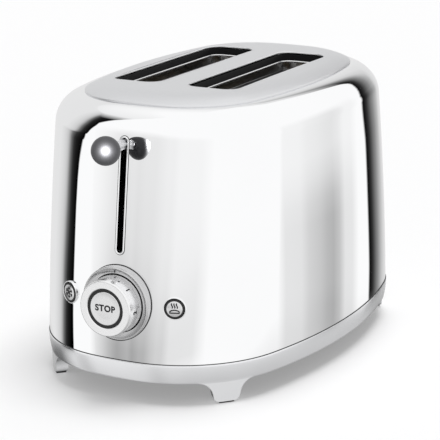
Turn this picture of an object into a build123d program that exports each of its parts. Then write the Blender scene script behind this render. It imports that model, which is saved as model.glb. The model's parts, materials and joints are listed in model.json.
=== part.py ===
import math
import os

from build123d import *

os.makedirs("parts", exist_ok=True)

# Sizes in millimetres. The control end faces -Y, the slots run along Y, +Z is up.

# Base ring and feet
base_width = 195
base_length = 298
ring_flat = 19.5
side_bow = 356
end_bow = 211
ring_low = 15
ring_high = 28
ring_wall = 2.5
ring_tuck = 2.2
foot_tuck = 7
foot_width = 16.5
foot_flare = 3.2
foot_root = 8
foot_turn = 41
sole = 1.2
pad_depth = 13
lip_height = 4
lip_inset = 2.4
lip_wall = 1.5
ring_corner = base_width / 2 - ring_flat

# Body shell
height = 198
ring_step = 0.6
shell_wall = 1.2
side_lean = 4.6
side_power = 1.8
end_lean = 17.4
end_power = 1.1
shoulder_drop = 26
shoulder_rise = 20
shoulder_side = 22
shoulder_end = 13
shoulder_corner = 12
shoulder_turn = 80
corner_lean = 8
mouth_margin = 7
shoulder_z = height - shoulder_drop

# Top plate and toast slots
plate_ledge = 2.3
crown_reach = 26
plate_flat = 16.5
plate_edge = 1.2
plate_wall = 1.2
slot_centre = 28.9
slot_width = 36.8
slot_corner = 10
collar_wall = 1.2
collar_inset = 0.6
collar_gap = 0.9

# Toasting chassis
sheet = 1.0
chassis_low = 33
chassis_drop = 13
mech_room = 71
well_width = 31
well_end = 8.5
well_corner = 7
well_flange = 3
tongue_width = 60
tongue_reach = 28
rear_reach = 34
board_wall = 0.8
board_low = 48
board_drop = 13
board_offset = 19
board_side = 8
ribbon_count = 9
ribbon_width = 1.6
reflector_inset = 2
seat_gap = 0.1
chassis_high = height - chassis_drop
chassis_half_length = base_length / 2 - mech_room
chassis_half_width = slot_centre + board_offset + board_side
well_length = 2 * (chassis_half_length - well_end)
slot_margin = 2.75
slot_length = well_length + 2 * slot_margin
board_high = chassis_high - board_drop
reflector = chassis_half_width - reflector_inset

# Bread guides and racks
guide_open = 14
guide_travel = 5.5
guide_low = 50
guide_drop = 8
guide_bars = 8
guide_end = 6.5
rail_radius = 1.0
rail_reach = 3
bar_radius = 0.8
rail_play = 0.3
rack_drop = 68
rack_lap = 4
rack_low = 51
rack_width = 7
rack_end = 3.5
rack_height = 4
rung_radius = 1.0
rung_reach = 5.5
arm_width = 3
arm_height = 8
guide_high = chassis_high - guide_drop
guide_pitch = (well_length - 2 * guide_end) / (guide_bars - 1)
rack_z = chassis_high - rack_drop
rack_length = well_length - 2 * rack_end

# Lever, carriage and spring
lever_drop = 2.8
lever_root = 4
lever_bar_width = 3
lever_bar_height = 6
lever_gap = 0.8
ball_radius = 9.5
ball_out = 22.8
neck_radius = 2.2
slot_play = 0.7
lever_rim = 1.3
lever_sleeve = 0.6
fit = 0.1
rim_proud = 1.0
carriage_out = 13
carriage_wall = 1.5
carriage_half_width = 33
carriage_height = 17
rod_x = 14
rod_gap = 5.5
rod_radius = 2.5
running_fit = 0.05
bush_radius = 5
spring_radius = 4.6
spring_wire = 1.0
spring_seat = 0.2
magnet_x = 17
keeper_gap = 0.5
keeper_thick = 2
magnet_side = 15
lever_travel = rack_z - rack_low
lever_z = shoulder_z - lever_drop
carriage_y = chassis_half_length + carriage_out
rod_y = carriage_y + carriage_wall + rod_gap

# Browning knob and stop button, each measured out from the body's face behind the knob
control_z = 65.9
bezel_radius = 24.8
bezel_proud = 3.6
bezel_depth = 11.5
bezel_bore = 20
bezel_flange = 2.7
knob_radius = 19
knob_reach = 15.9
knob_depth = 15.3
knob_sleeve = 1.8
knob_gap = 0.3
post_radius = 13.45
post_wall = 2.2
post_flange = 3.5
post_foot = 4
post_ease = 0.5
post_recess = 0.5
stop_gap = 0.3
stop_thick = 3.4
stop_stem = 4
press_travel = 2
pot_radius = 21.5
pot_sunk = 9.4
pot_depth = 14
frame_wall = 2
frame_half_width = 46
frame_half_height = 27.5
pillar_inset = 4
board_thick = 1.6
pillar_radius = 3.5
switch_side = 7
relay_x = 24
relay_rise = 12
relay_width = 18
relay_height = 16
part_depth = 8
capacitor_radius = 4
capacitor_pitch = 12

# Round push buttons beside the knob
button_x = 39.8
button_radius = 6.6
button_gap = 0.3
button_rim = 0.7
button_proud = 1.5
rim_front = 1.2
socket_radius = 9
socket_top = 3.1
socket_depth = 11.5
socket_floor = 1.5
button_stem = 3
button_head = 3.2

# Bottom plate, crumb tray and cord gland
bottom_thick = 2.5
bottom_play = 0.2
tray_side = 1
tray_end = 2
tray_wall = 0.8
tray_gap = 0.3
tray_height = 6.5
window_play = 0.4
rail_wall = 2
rail_end = 22
boss_radius = 4
screw_x = 62
screw_end = 8
screw_radius = 1.5
screw_head = 3.4
head_thick = 1.6
vent_side = 23.5
vent_pitch = 10
vent_count = 9
vent_length = 16
vent_width = 3
pull_width = 50
pull_height = 2.6
gland_side = 26.5
gland_end = 8
gland_bore = 3.9
gland_wall = 2.4
gland_flange = 2.4
cleat_end = 16
cleat_width = 5
cleat_length = 24
cleat_drop = 6
cleat_cap_width = 14
cleat_cap_length = 40
cleat_cap = 2.5
block_width = 30
block_depth = 14
block_height = 12
block_gap = 20
block_end = 5
terminal_pitch = 9
terminal_bore = 2.2
terminal_floor = 5
tray_half_width = chassis_half_width - tray_side
tray_front = chassis_half_length - tray_end
screw_y = chassis_half_length - screw_end
base_sheet_width = 2 * (screw_x + boss_radius)
base_sheet_rear = chassis_half_length + rear_reach
vent_x = base_width / 2 - vent_side
gland_x = base_width / 2 - gland_side
gland_y = chassis_half_length + gland_end
cleat_y = chassis_half_length - cleat_end


def body_size(z):
    """Half width, half length and corner of the body's outer face below the shoulder."""
    share = (z - ring_high) / (shoulder_z - ring_high)
    half_w = base_width / 2 - ring_step - side_lean * share**side_power
    half_l = base_length / 2 - ring_step - end_lean * share**end_power
    return half_w, half_l, ring_corner - ring_step - corner_lean * share


def face_reach(z):
    """How far the body's front face stands in front of its centre at height z."""
    return body_size(z)[1]


ball_y = face_reach(lever_z) + ball_out
face = face_reach(control_z)
bezel_front = face + bezel_proud
knob_front = face + knob_reach
knob_back = knob_front - knob_depth
pot_front = face - pot_sunk
frame_front = pot_front - pot_depth

# The ball stands further out in front than the ring does behind, so the body's
# own centre lies behind the middle of the whole toaster by this much.
mid_y = (ball_y + ball_radius - base_length / 2) / 2

pairs = ((1, 1), (-1, 1), (-1, -1), (1, -1))


def level(z):
    """Horizontal plane at height z over the body's own centre."""
    return Plane((0, mid_y, z))


def front(y, z=0):
    """Upright plane that looks forwards, y in front of the body's centre."""
    return Plane((0, mid_y - y, z), x_dir=(1, 0, 0), z_dir=(0, -1, 0))


def side(x, z=0):
    """Upright plane that looks along +X."""
    return Plane((x, mid_y, z), x_dir=(0, 1, 0), z_dir=(1, 0, 0))


def corner_centre(half_w, half_l, corner):
    """Centre of the corner arc that runs tangent into the side arc and the end arc."""
    side_centre = Vector(half_w - side_bow, 0)
    end_centre = Vector(0, half_l - end_bow)
    to_side = side_bow - corner
    to_end = end_bow - corner
    span = (end_centre - side_centre).length
    axis = (end_centre - side_centre).normalized()
    along = (to_side**2 - to_end**2 + span**2) / (2 * span)
    across = math.sqrt(to_side**2 - along**2)
    return side_centre + axis * along + Vector(-axis.Y, axis.X) * across


def oval(z, half_w, half_l, corner, inset=0):
    """Bowed oval of eight tangent arcs at height z, smaller all round by inset."""
    centre = corner_centre(half_w, half_l, corner)
    side_way = (centre - Vector(half_w - side_bow, 0)).normalized()
    end_way = (centre - Vector(0, half_l - end_bow)).normalized()
    mid_way = (side_way + end_way).normalized()
    reach = corner - inset
    at_side, at_mid, at_end = (centre + way * reach for way in (side_way, mid_way, end_way))
    with BuildSketch(level(z)) as outline:
        with BuildLine():
            for sx, sy in pairs:
                ThreePointArc(*((sx * p.X, sy * p.Y) for p in (at_side, at_mid, at_end)))
            for way in (1, -1):
                x, y = way * at_side.X, way * at_end.Y
                ThreePointArc((x, -at_side.Y), (way * (half_w - inset), 0), (x, at_side.Y))
                ThreePointArc((-at_end.X, y), (0, way * (half_l - inset)), (at_end.X, y))
        make_face()
    return outline.sketch


def ring_oval(z, inset):
    """The base ring's outline, smaller all round by inset."""
    return oval(z, base_width / 2, base_length / 2, ring_corner, inset)


def shoulder_share(turn):
    """How much of the shoulder's rise and of its draw is done once its face has leaned in by turn."""
    return math.sin(math.radians(turn)), 1 - math.cos(math.radians(turn))


def shoulder_size(turn):
    """Half width, half length and corner of the shoulder where its face has leaned in by turn."""
    lift, draw = shoulder_share(turn)
    half_w, half_l, corner = body_size(shoulder_z)
    return (
        half_w - side_slope * shoulder_rise * lift - shoulder_side * draw,
        half_l - end_slope * shoulder_rise * lift - shoulder_end * draw,
        corner - shoulder_corner * draw,
    )


def skin(inset):
    """Solid block inside the body's outer face, smaller all round by inset."""
    walls = []
    for share in (0, 0.5, 1):
        z = ring_high + (shoulder_z - ring_high) * share
        walls.append(oval(z, *body_size(z), inset))
    shoulder = [walls[-1]]
    for step in (0.25, 0.5, 0.75, 1):
        lift, draw = shoulder_share(step * shoulder_turn)
        z = shoulder_z + (shoulder_rise - inset) * lift
        shoulder.append(oval(z, *shoulder_size(step * shoulder_turn), inset * (1 - draw)))
    with BuildPart() as block:
        loft(walls)
        loft(shoulder)
    return block.part


wall_height = shoulder_z - ring_high
side_slope = side_power * side_lean / wall_height
end_slope = end_power * end_lean / wall_height
top_half_w, top_half_l, _ = shoulder_size(shoulder_turn)
plate_low = shoulder_z + shoulder_rise * shoulder_share(shoulder_turn)[0]
plate_half_w = top_half_w - plate_ledge
plate_half_l = top_half_l - plate_ledge
plate_corner = plate_half_w - plate_flat
crown = height - plate_low - plate_edge
ring_levels = ((ring_low, ring_tuck), ((ring_low + ring_high) / 2.15, 0.9), (ring_high, 0))
foot_levels = ((sole, foot_tuck), ((sole + ring_low) / 2, (foot_tuck + ring_tuck) / 2))
bottom_top = ring_low + bottom_thick
tray_z = bottom_top + tray_gap
rod_foot = chassis_low + sheet
lever_slot_high = lever_z + lever_bar_height / 2 + lever_gap
lever_slot_low = lever_z - lever_travel - lever_bar_height / 2 - 2 * lever_gap
lever_slot_mid = (lever_slot_high + lever_slot_low) / 2
lever_slot_height = lever_slot_high - lever_slot_low
lever_slot_width = lever_bar_width + 2 * slot_play

# Feet: each lobe of the ring hangs below its corner, flared into the ring's lower edge
foot_centre = corner_centre(base_width / 2, base_length / 2, ring_corner)


def foot_plane(sx, sy):
    """Upright plane in the ring's corner that looks outwards through the foot."""
    out = Vector(sx * math.cos(math.radians(foot_turn)), sy * math.sin(math.radians(foot_turn)))
    return Plane(
        (sx * foot_centre.X, sy * foot_centre.Y + mid_y, 0),
        x_dir=(-out.Y, out.X, 0),
        z_dir=(out.X, out.Y, 0),
    )


def foot_prism(sx, sy, trim):
    """Everything that lies inside the foot's front outline, narrower by trim on each side."""
    half = foot_width / 2 - trim
    with BuildPart() as prism:
        with BuildSketch(foot_plane(sx, sy)):
            with BuildLine():
                Polyline(
                    (-half, 0), (half, 0), (half + foot_flare, ring_low), (3 * half, ring_low),
                    (3 * half, ring_high), (-3 * half, ring_high), (-3 * half, ring_low),
                    (-half - foot_flare, ring_low), close=True,
                )
            make_face()
            fillet(vertices().filter_by(lambda v: v.Y == ring_low and abs(v.X) < 2 * half), foot_root)
        extrude(amount=base_length / 2)
    return prism.part


with BuildPart() as between_feet:
    extrude(ring_oval(0, -foot_tuck), amount=ring_low)
    for sx, sy in pairs:
        add(foot_prism(sx, sy, 0), mode=Mode.SUBTRACT)

with BuildPart() as base_ring:
    loft([ring_oval(z, inset) for z, inset in foot_levels + ring_levels])
    loft([ring_oval(z, inset + ring_wall) for z, inset in foot_levels + ring_levels], mode=Mode.SUBTRACT)
    add(between_feet.part, mode=Mode.SUBTRACT)
    extrude(ring_oval(ring_high - 2, lip_inset), amount=lip_height + 2)
    extrude(ring_oval(ring_high - 2, lip_inset + lip_wall), amount=lip_height + 2, mode=Mode.SUBTRACT)
    # Window for the crumb tray in the rear
    with BuildSketch(front(0)):
        with Locations((0, (bottom_top + tray_z + tray_height + tray_gap) / 2)):
            Rectangle(2 * (tray_half_width + window_play), tray_height + 2 * tray_gap)
    extrude(amount=-base_length, mode=Mode.SUBTRACT)
base_ring.part.label = "base_ring"
export_step(base_ring.part, "parts/base_ring.step")

# Foot pads: a black sole under each lobe and a block behind it
for (sx, sy), place in zip(pairs, ("rear_right", "rear_left", "front_left", "front_right")):
    with BuildPart() as foot_pad:
        loft(
            [
                ring_oval(z, inset + ring_wall + bottom_play)
                for z, inset in foot_levels + ((ring_low, ring_tuck),)
            ]
        )
        extrude(ring_oval(0, foot_tuck), amount=sole)
        add(foot_prism(sx, sy, bottom_play), mode=Mode.INTERSECT)
        extrude(ring_oval(0, foot_tuck + pad_depth), amount=ring_low, mode=Mode.SUBTRACT)
    foot_pad.part.label = "foot_pad_" + place
    export_step(foot_pad.part, "parts/foot_pad_" + place + ".step")

# Body shell: one drawn skin with a rolled-over shoulder and an oval mouth for the top plate


def button_plane(way, proud):
    """Plane square to the front corner at a button, proud of the body's face there."""
    half_w, half_l, corner = body_size(control_z)
    centre = corner_centre(half_w, half_l, corner)
    turn = math.asin((button_x - centre.X) / corner)
    out = Vector(way * math.sin(turn), -math.cos(turn))
    reach = corner + proud
    return Plane(
        (way * centre.X + out.X * reach, mid_y - centre.Y + out.Y * reach, control_z),
        x_dir=(-out.Y, out.X, 0),
        z_dir=(out.X, out.Y, 0),
    )


lever_hole_width = lever_slot_width + 2 * lever_sleeve + fit
lever_hole_height = lever_slot_height + 2 * lever_sleeve + fit
rim_radius = button_radius + button_gap + button_rim

with BuildPart() as body_shell:
    add(skin(0))
    add(skin(shell_wall), mode=Mode.SUBTRACT)
    extrude(
        oval(shoulder_z, plate_half_w, plate_half_l, plate_corner, mouth_margin),
        amount=height,
        mode=Mode.SUBTRACT,
    )
    with BuildSketch(front(0)):
        with Locations((0, lever_slot_mid)):
            SlotOverall(lever_hole_height, lever_hole_width, rotation=90)
        with Locations((0, control_z)):
            Circle(bezel_radius + fit)
    extrude(amount=base_length, mode=Mode.SUBTRACT)
    for way in (-1, 1):
        with BuildSketch(button_plane(way, -socket_depth)):
            Circle(rim_radius + fit)
        extrude(amount=2 * socket_depth, mode=Mode.SUBTRACT)
body_shell.part.label = "body_shell"
export_step(body_shell.part, "parts/body_shell.step")

# Crowned top plate with the two toast slots
crown_steps = ((0, 0), (0.19, 0.47), (0.54, 0.83), (1, 1))


def plate_outlines(inset, drop):
    """Outlines of the crowned plate from its rim inwards, moved in by inset and down by drop."""
    rim = plate_low + plate_edge - drop
    return [
        oval(rim + crown * share, plate_half_w, plate_half_l, plate_corner, inset + crown_reach * step)
        for step, share in crown_steps
    ]


with BuildPart() as top_plate:
    extrude(oval(plate_low, plate_half_w, plate_half_l, plate_corner), amount=plate_edge)
    loft(plate_outlines(0, 0))
    loft(plate_outlines(plate_wall, plate_wall), mode=Mode.SUBTRACT)
    with BuildSketch(level(plate_low)):
        with Locations((-slot_centre, 0), (slot_centre, 0)):
            RectangleRounded(slot_width, slot_length, slot_corner)
    extrude(amount=height, mode=Mode.SUBTRACT)
top_plate.part.label = "top_plate"
export_step(top_plate.part, "parts/top_plate.step")

collar_high = height - plate_wall - collar_gap
for way, place in ((-1, "left"), (1, "right")):
    with BuildPart() as slot_collar:
        with BuildSketch(level(chassis_high)):
            with Locations((way * slot_centre, 0)):
                RectangleRounded(
                    slot_width + 2 * (collar_wall - collar_inset),
                    slot_length + 2 * (collar_wall - collar_inset),
                    slot_corner + collar_wall - collar_inset,
                )
                RectangleRounded(
                    slot_width - 2 * collar_inset,
                    slot_length - 2 * collar_inset,
                    slot_corner - collar_inset,
                    mode=Mode.SUBTRACT,
                )
        extrude(amount=collar_high - chassis_high)
    slot_collar.part.label = "slot_collar_" + place
    export_step(slot_collar.part, "parts/slot_collar_" + place + ".step")

# Chassis top: a sheet with a downturned flange round each well and a tongue for the rod
with BuildPart() as chassis_top:
    with BuildSketch(level(chassis_high - sheet)):
        Rectangle(2 * chassis_half_width, 2 * chassis_half_length)
        with Locations((0, -chassis_half_length)):
            Rectangle(tongue_width / 1.5, 2 * tongue_reach)
    extrude(amount=sheet)
    with BuildSketch(level(chassis_high - sheet - well_flange)):
        with Locations((-slot_centre, 0), (slot_centre, 0)):
            RectangleRounded(well_width + 2 * sheet, well_length + 2 * sheet, well_corner + sheet)
    extrude(amount=well_flange)
    with BuildSketch(level(chassis_low)):
        with Locations((-slot_centre, 0), (slot_centre, 0)):
            RectangleRounded(well_width, well_length, well_corner)
    extrude(amount=height, mode=Mode.SUBTRACT)
    with BuildSketch(level(chassis_low)):
        with Locations((rod_x, -rod_y)):
            Circle(rod_radius + running_fit)
    extrude(amount=height, mode=Mode.SUBTRACT)
chassis_top.part.label = "chassis_top"
export_step(chassis_top.part, "parts/chassis_top.step")

# End plates: upright sheets with slots for the guide rails, and for the rack arms in front
guide_mid = guide_open - guide_travel / 2
rail_slot = guide_travel + 2 * (rail_radius + rail_play)
for reach, place in ((chassis_half_length, "front"), (-chassis_half_length - sheet, "rear")):
    with BuildPart() as end_plate:
        with BuildSketch(front(reach)):
            with Locations((0, (chassis_low + sheet + chassis_high - sheet) / 2)):
                Rectangle(2 * chassis_half_width, chassis_high - chassis_low - 2 * sheet)
            for x in (-slot_centre, slot_centre):
                with Locations(
                    *((x + way * guide_mid, z) for way in (-1, 1) for z in (guide_low, guide_high))
                ):
                    SlotOverall(rail_slot, 2 * (rail_radius + rail_play), mode=Mode.SUBTRACT)
            if place == "front":
                arm_mid = rack_z - lever_travel / 2
                with Locations((-slot_centre, arm_mid), (slot_centre, arm_mid)):
                    SlotOverall(
                        lever_travel + arm_height + 4 * rail_play + arm_width,
                        arm_width + 2 * rail_play,
                        rotation=90,
                        mode=Mode.SUBTRACT,
                    )
        extrude(amount=sheet)
    end_plate.part.label = place + "_plate"
    export_step(end_plate.part, "parts/" + place + "_plate.step")

# Chassis base: the sheet under the wells, open where crumbs fall, with a tongue in front
with BuildPart() as chassis_base:
    with BuildSketch(level(chassis_low)):
        with Locations((0, (base_sheet_rear - chassis_half_length) / 2)):
            Rectangle(base_sheet_width, base_sheet_rear + chassis_half_length)
        with Locations((0, -chassis_half_length)):
            Rectangle(tongue_width, 2 * tongue_reach)
        with Locations((-slot_centre, 0), (slot_centre, 0)):
            RectangleRounded(well_width, well_length, well_corner, mode=Mode.SUBTRACT)
    extrude(amount=sheet)
    with BuildSketch(level(chassis_low)):
        with Locations(*((way * screw_x, y) for way in (-1, 1) for y in (-screw_y, screw_y))):
            Circle(screw_radius + running_fit)
    extrude(amount=sheet, mode=Mode.SUBTRACT)
chassis_base.part.label = "chassis_base"
export_step(chassis_base.part, "parts/chassis_base.step")

for way, place in ((-1, "left"), (1, "right")):
    with BuildPart() as side_reflector:
        with BuildSketch(side(way * reflector)):
            with Locations((0, (rod_foot + chassis_high - sheet) / 2)):
                reflector_height = chassis_high - sheet - rod_foot - 2 * seat_gap
                Rectangle(2 * (chassis_half_length - seat_gap), reflector_height)
        extrude(amount=way * sheet)
    side_reflector.part.label = "side_reflector_" + place
    export_step(side_reflector.part, "parts/side_reflector_" + place + ".step")

# Heater boards: mica sheets with flat resistance ribbons wound round them
ribbon_pitch = (board_high - board_low) / (ribbon_count + 1)
for x, place in (
    (-slot_centre - board_offset, "left_outer"),
    (-slot_centre + board_offset, "left_inner"),
    (slot_centre - board_offset, "right_inner"),
    (slot_centre + board_offset, "right_outer"),
):
    with BuildPart() as heater_board:
        with BuildSketch(side(x - board_wall / 2)):
            with Locations((0, (board_low + board_high) / 2)):
                Rectangle(2 * (chassis_half_length - seat_gap), board_high - board_low)
        extrude(amount=board_wall)
        with BuildSketch(side(x - board_wall)):
            with Locations((0, (board_low + board_high) / 2)):
                with GridLocations(0, ribbon_pitch, 1, ribbon_count):
                    Rectangle(well_length, ribbon_width)
        extrude(amount=2 * board_wall)
    heater_board.part.label = "heater_board_" + place
    export_step(heater_board.part, "parts/heater_board_" + place + ".step")

# Bread guides: upright bars between two rails whose ends slide in the end plates
for x, place in (
    (-slot_centre - guide_open, "left_outer"),
    (-slot_centre + guide_open, "left_inner"),
    (slot_centre - guide_open, "right_inner"),
    (slot_centre + guide_open, "right_outer"),
):
    with BuildPart() as bread_guide:
        with BuildSketch(front(chassis_half_length + rail_reach)):
            with Locations((x, guide_low), (x, guide_high)):
                Circle(rail_radius)
        extrude(amount=-2 * (chassis_half_length + rail_reach))
        with BuildSketch(level(guide_low)):
            with Locations((x, 0)):
                with GridLocations(0, guide_pitch, 1, guide_bars):
                    Circle(bar_radius)
        extrude(amount=guide_high - guide_low)
    bread_guide.part.label = "bread_guide_" + place
    export_step(bread_guide.part, "parts/bread_guide_" + place + ".step")

# Bread racks: a channel under each slice, cross rungs, and an arm out through the front plate
for way, place in ((-1, "left"), (1, "right")):
    with BuildPart() as bread_rack:
        with BuildSketch(front(rack_length / 2)):
            with Locations((way * slot_centre, rack_z)):
                Rectangle(rack_width, rack_height)
                with Locations((0, -sheet)):
                    Rectangle(rack_width - 2 * sheet, rack_height, mode=Mode.SUBTRACT)
        extrude(amount=-rack_length)
        with BuildSketch(side(way * slot_centre - rung_reach)):
            with Locations((0, rack_z + rack_height / 2 - rung_radius / 2)):
                with GridLocations(guide_pitch, 0, guide_bars - 1, 1):
                    Circle(rung_radius)
        extrude(amount=2 * rung_reach)
        with BuildSketch(front(carriage_y)):
            with Locations((way * slot_centre, rack_z)):
                Rectangle(arm_width, arm_height)
        extrude(amount=-(carriage_y - rack_length / 2 + rack_lap))
    bread_rack.part.label = "bread_rack_" + place
    export_step(bread_rack.part, "parts/bread_rack_" + place + ".step")

# Carriage: a sheet that joins both racks, its bush on the rod, and the riser to the lever
carriage_low = rack_z - arm_height / 2
with BuildPart() as carriage:
    with BuildSketch(front(carriage_y)):
        with Locations((0, carriage_low + carriage_height / 2)):
            Rectangle(2 * carriage_half_width, carriage_height)
        with Locations((0, (carriage_low + lever_z + lever_bar_height) / 2)):
            Rectangle(carriage_height, lever_z + lever_bar_height - carriage_low)
    extrude(amount=carriage_wall)
    fillet(carriage.edges().filter_by(Axis.Y).group_by(Axis.Z)[-1], 3)
    with BuildSketch(level(carriage_low)):
        with Locations((rod_x, -rod_y)):
            Circle(bush_radius)
        with Locations((rod_x, -(rod_y + carriage_y + carriage_wall) / 2)):
            Rectangle(bush_radius, rod_y - carriage_y - carriage_wall)
    extrude(amount=carriage_height)
    with BuildSketch(level(carriage_low)):
        with Locations((rod_x, -rod_y)):
            Circle(rod_radius + running_fit)
    extrude(amount=carriage_height, mode=Mode.SUBTRACT)
    # Ledge that carries the keeper plate over the magnet
    with BuildSketch(level(carriage_low)):
        with Locations((-magnet_x, -carriage_y - carriage_wall - magnet_side / 2)):
            Rectangle(magnet_side, magnet_side)
    extrude(amount=carriage_wall)
carriage.part.label = "carriage"
export_step(carriage.part, "parts/carriage.step")

keeper_top = carriage_low
with BuildPart() as keeper_plate:
    with BuildSketch(level(keeper_top - keeper_thick)):
        with Locations((-magnet_x, -carriage_y - carriage_wall - magnet_side / 2)):
            RectangleRounded(magnet_side, magnet_side - 2, 1)
    extrude(amount=keeper_thick)
keeper_plate.part.label = "keeper_plate"
export_step(keeper_plate.part, "parts/keeper_plate.step")

with BuildPart() as electromagnet:
    magnet_high = keeper_top - keeper_thick - lever_travel - keeper_gap
    with BuildSketch(level(rod_foot)):
        with Locations((-magnet_x, -carriage_y - carriage_wall - magnet_side / 2)):
            RectangleRounded(magnet_side, magnet_side, 1)
    extrude(amount=sheet)
    with BuildSketch(level(rod_foot)):
        with Locations((-magnet_x, -carriage_y - carriage_wall - magnet_side / 2)):
            Circle(magnet_side / 2 - 1)
    extrude(amount=magnet_high - rod_foot - 2 * sheet)
    with BuildSketch(level(rod_foot)):
        with Locations((-magnet_x, -carriage_y - carriage_wall - magnet_side / 2)):
            Circle(magnet_side / 4)
    extrude(amount=magnet_high - rod_foot)
electromagnet.part.label = "electromagnet"
export_step(electromagnet.part, "parts/electromagnet.step")

with BuildPart() as guide_rod:
    with BuildSketch(level(rod_foot)):
        with Locations((rod_x, -rod_y)):
            Circle(rod_radius)
    extrude(amount=chassis_high - rod_foot)
guide_rod.part.label = "guide_rod"
export_step(guide_rod.part, "parts/guide_rod.step")

# Spring under the bush: its outer envelope round the rod
with BuildPart() as carriage_spring:
    with BuildSketch(level(rod_foot + spring_seat)):
        with Locations((rod_x, -rod_y)):
            Circle(spring_radius)
            Circle(spring_radius - spring_wire, mode=Mode.SUBTRACT)
    extrude(amount=carriage_low - rod_foot - 2 * spring_seat)
carriage_spring.part.label = "carriage_spring"
export_step(carriage_spring.part, "parts/carriage_spring.step")

# Lever: a flat bar from the carriage out through the slot, a neck and the ball
with BuildPart() as lever_arm:
    with BuildSketch(front(carriage_y + carriage_wall)):
        with Locations((0, lever_z)):
            Rectangle(lever_bar_width, lever_bar_height)
            RectangleRounded(
                carriage_height - lever_root, lever_bar_height + lever_root, lever_root / 2
            )
    extrude(amount=carriage_wall)
    with BuildSketch(front(carriage_y + carriage_wall)):
        with Locations((0, lever_z)):
            Rectangle(lever_bar_width, lever_bar_height)
    extrude(amount=face_reach(lever_z - lever_travel) + rim_proud + 1 - carriage_y - carriage_wall)
    with BuildSketch(front(carriage_y + carriage_wall)):
        with Locations((0, lever_z)):
            Circle(neck_radius)
    extrude(amount=ball_y - ball_radius / 2 - carriage_y - carriage_wall)
lever_arm.part.label = "lever_arm"
export_step(lever_arm.part, "parts/lever_arm.step")

with BuildPart() as lever_ball:
    with BuildSketch(front(ball_y)):
        with BuildLine():
            CenterArc((0, lever_z), ball_radius, -90, 180)
            Line((0, lever_z - ball_radius), (0, lever_z + ball_radius))
        make_face()
    revolve(axis=Axis((0, mid_y - ball_y, 0), (0, 0, 1)))
    with BuildSketch(front(ball_y - ball_radius / 2)):
        with Locations((0, lever_z)):
            Circle(neck_radius + running_fit)
    extrude(amount=-ball_radius, mode=Mode.SUBTRACT)
lever_ball.part.label = "lever_ball"
export_step(lever_ball.part, "parts/lever_ball.step")

# Chrome rim of the lever slot: a flange that follows the leaning face and a sleeve through it
with BuildPart() as slot_flange:
    with BuildSketch(front(0)):
        with Locations((0, lever_slot_mid)):
            SlotOverall(lever_slot_height + 2 * lever_rim, lever_slot_width + 2 * lever_rim, rotation=90)
    extrude(amount=base_length)
    add(skin(-rim_proud), mode=Mode.INTERSECT)
    add(skin(-running_fit), mode=Mode.SUBTRACT)

with BuildPart() as lever_bezel:
    with BuildSketch(front(0)):
        with Locations((0, lever_slot_mid)):
            SlotOverall(
                lever_slot_height + 2 * lever_sleeve, lever_slot_width + 2 * lever_sleeve, rotation=90
            )
    extrude(amount=base_length)
    add(skin(-rim_proud), mode=Mode.INTERSECT)
    add(skin(2 * shell_wall), mode=Mode.SUBTRACT)
    add(slot_flange.part)
    with BuildSketch(front(0)):
        with Locations((0, lever_slot_mid)):
            SlotOverall(lever_slot_height, lever_slot_width, rotation=90)
    extrude(amount=base_length, mode=Mode.SUBTRACT)
lever_bezel.part.label = "lever_bezel"
export_step(lever_bezel.part, "parts/lever_bezel.step")

# Browning control: fixed ring, knob, hollow post with the stop button, ring potentiometer


def disc(y, radius, bore=0):
    """Round or ring-shaped sketch about the knob's axis, y in front of the body's centre."""
    with BuildSketch(front(y)) as ring:
        with Locations((0, control_z)):
            Circle(radius)
            if bore:
                Circle(bore, mode=Mode.SUBTRACT)
    return ring.sketch


bezel_back = bezel_front - bezel_depth
with BuildPart() as knob_bezel:
    extrude(disc(bezel_back, bezel_radius, bezel_bore), amount=bezel_depth)
    rims = knob_bezel.faces().sort_by(Axis.Y)[0].edges().sort_by(SortBy.RADIUS)
    fillet(rims[-1], 2)
    fillet(knob_bezel.faces().sort_by(Axis.Y)[0].edges().sort_by(SortBy.RADIUS)[0], 1)
    extrude(disc(bezel_back, bezel_radius + bezel_flange, bezel_bore), amount=shell_wall)
knob_bezel.part.label = "knob_bezel"
export_step(knob_bezel.part, "parts/knob_bezel.step")

sleeve_bore = post_radius + running_fit
sleeve_radius = sleeve_bore + knob_sleeve
with BuildPart() as browning_knob:
    extrude(disc(knob_back, knob_radius + 0.4), amount=knob_front - knob_back, taper=1.5)
    fillet(browning_knob.faces().sort_by(Axis.Y)[0].edges(), 1.2)
    extrude(disc(frame_front + 1, sleeve_radius), amount=knob_back - frame_front - 1)
    extrude(disc(frame_front, sleeve_bore), amount=knob_front, mode=Mode.SUBTRACT)
    extrude(disc(knob_back + 2, post_radius + knob_gap), amount=knob_front, mode=Mode.SUBTRACT)
browning_knob.part.label = "browning_knob"
export_step(browning_knob.part, "parts/browning_knob.step")

post_bore = post_radius - post_wall
flange_back = frame_front - frame_wall - shell_wall
board_front = flange_back
with BuildPart() as stop_post:
    extrude(disc(flange_back, post_radius, post_bore), amount=knob_front - post_recess - flange_back)
    extrude(disc(flange_back, post_radius + post_flange, post_bore), amount=shell_wall)
    post_end = disc(pot_front - post_foot, post_radius - post_ease, stop_stem + running_fit)
    extrude(post_end, amount=post_foot)
stop_post.part.label = "stop_post"
export_step(stop_post.part, "parts/stop_post.step")

stop_switch_front = frame_front + 0.5
with BuildPart() as stop_button:
    extrude(disc(knob_front - stop_gap - stop_thick, post_bore - stop_gap), amount=stop_thick)
    fillet(stop_button.faces().sort_by(Axis.Y)[0].edges(), 0.6)
    extrude(
        disc(stop_switch_front + press_travel + stop_gap, stop_stem),
        amount=knob_front - stop_thick - stop_switch_front - press_travel - stop_gap,
    )
stop_button.part.label = "stop_button"
export_step(stop_button.part, "parts/stop_button.step")

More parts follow.
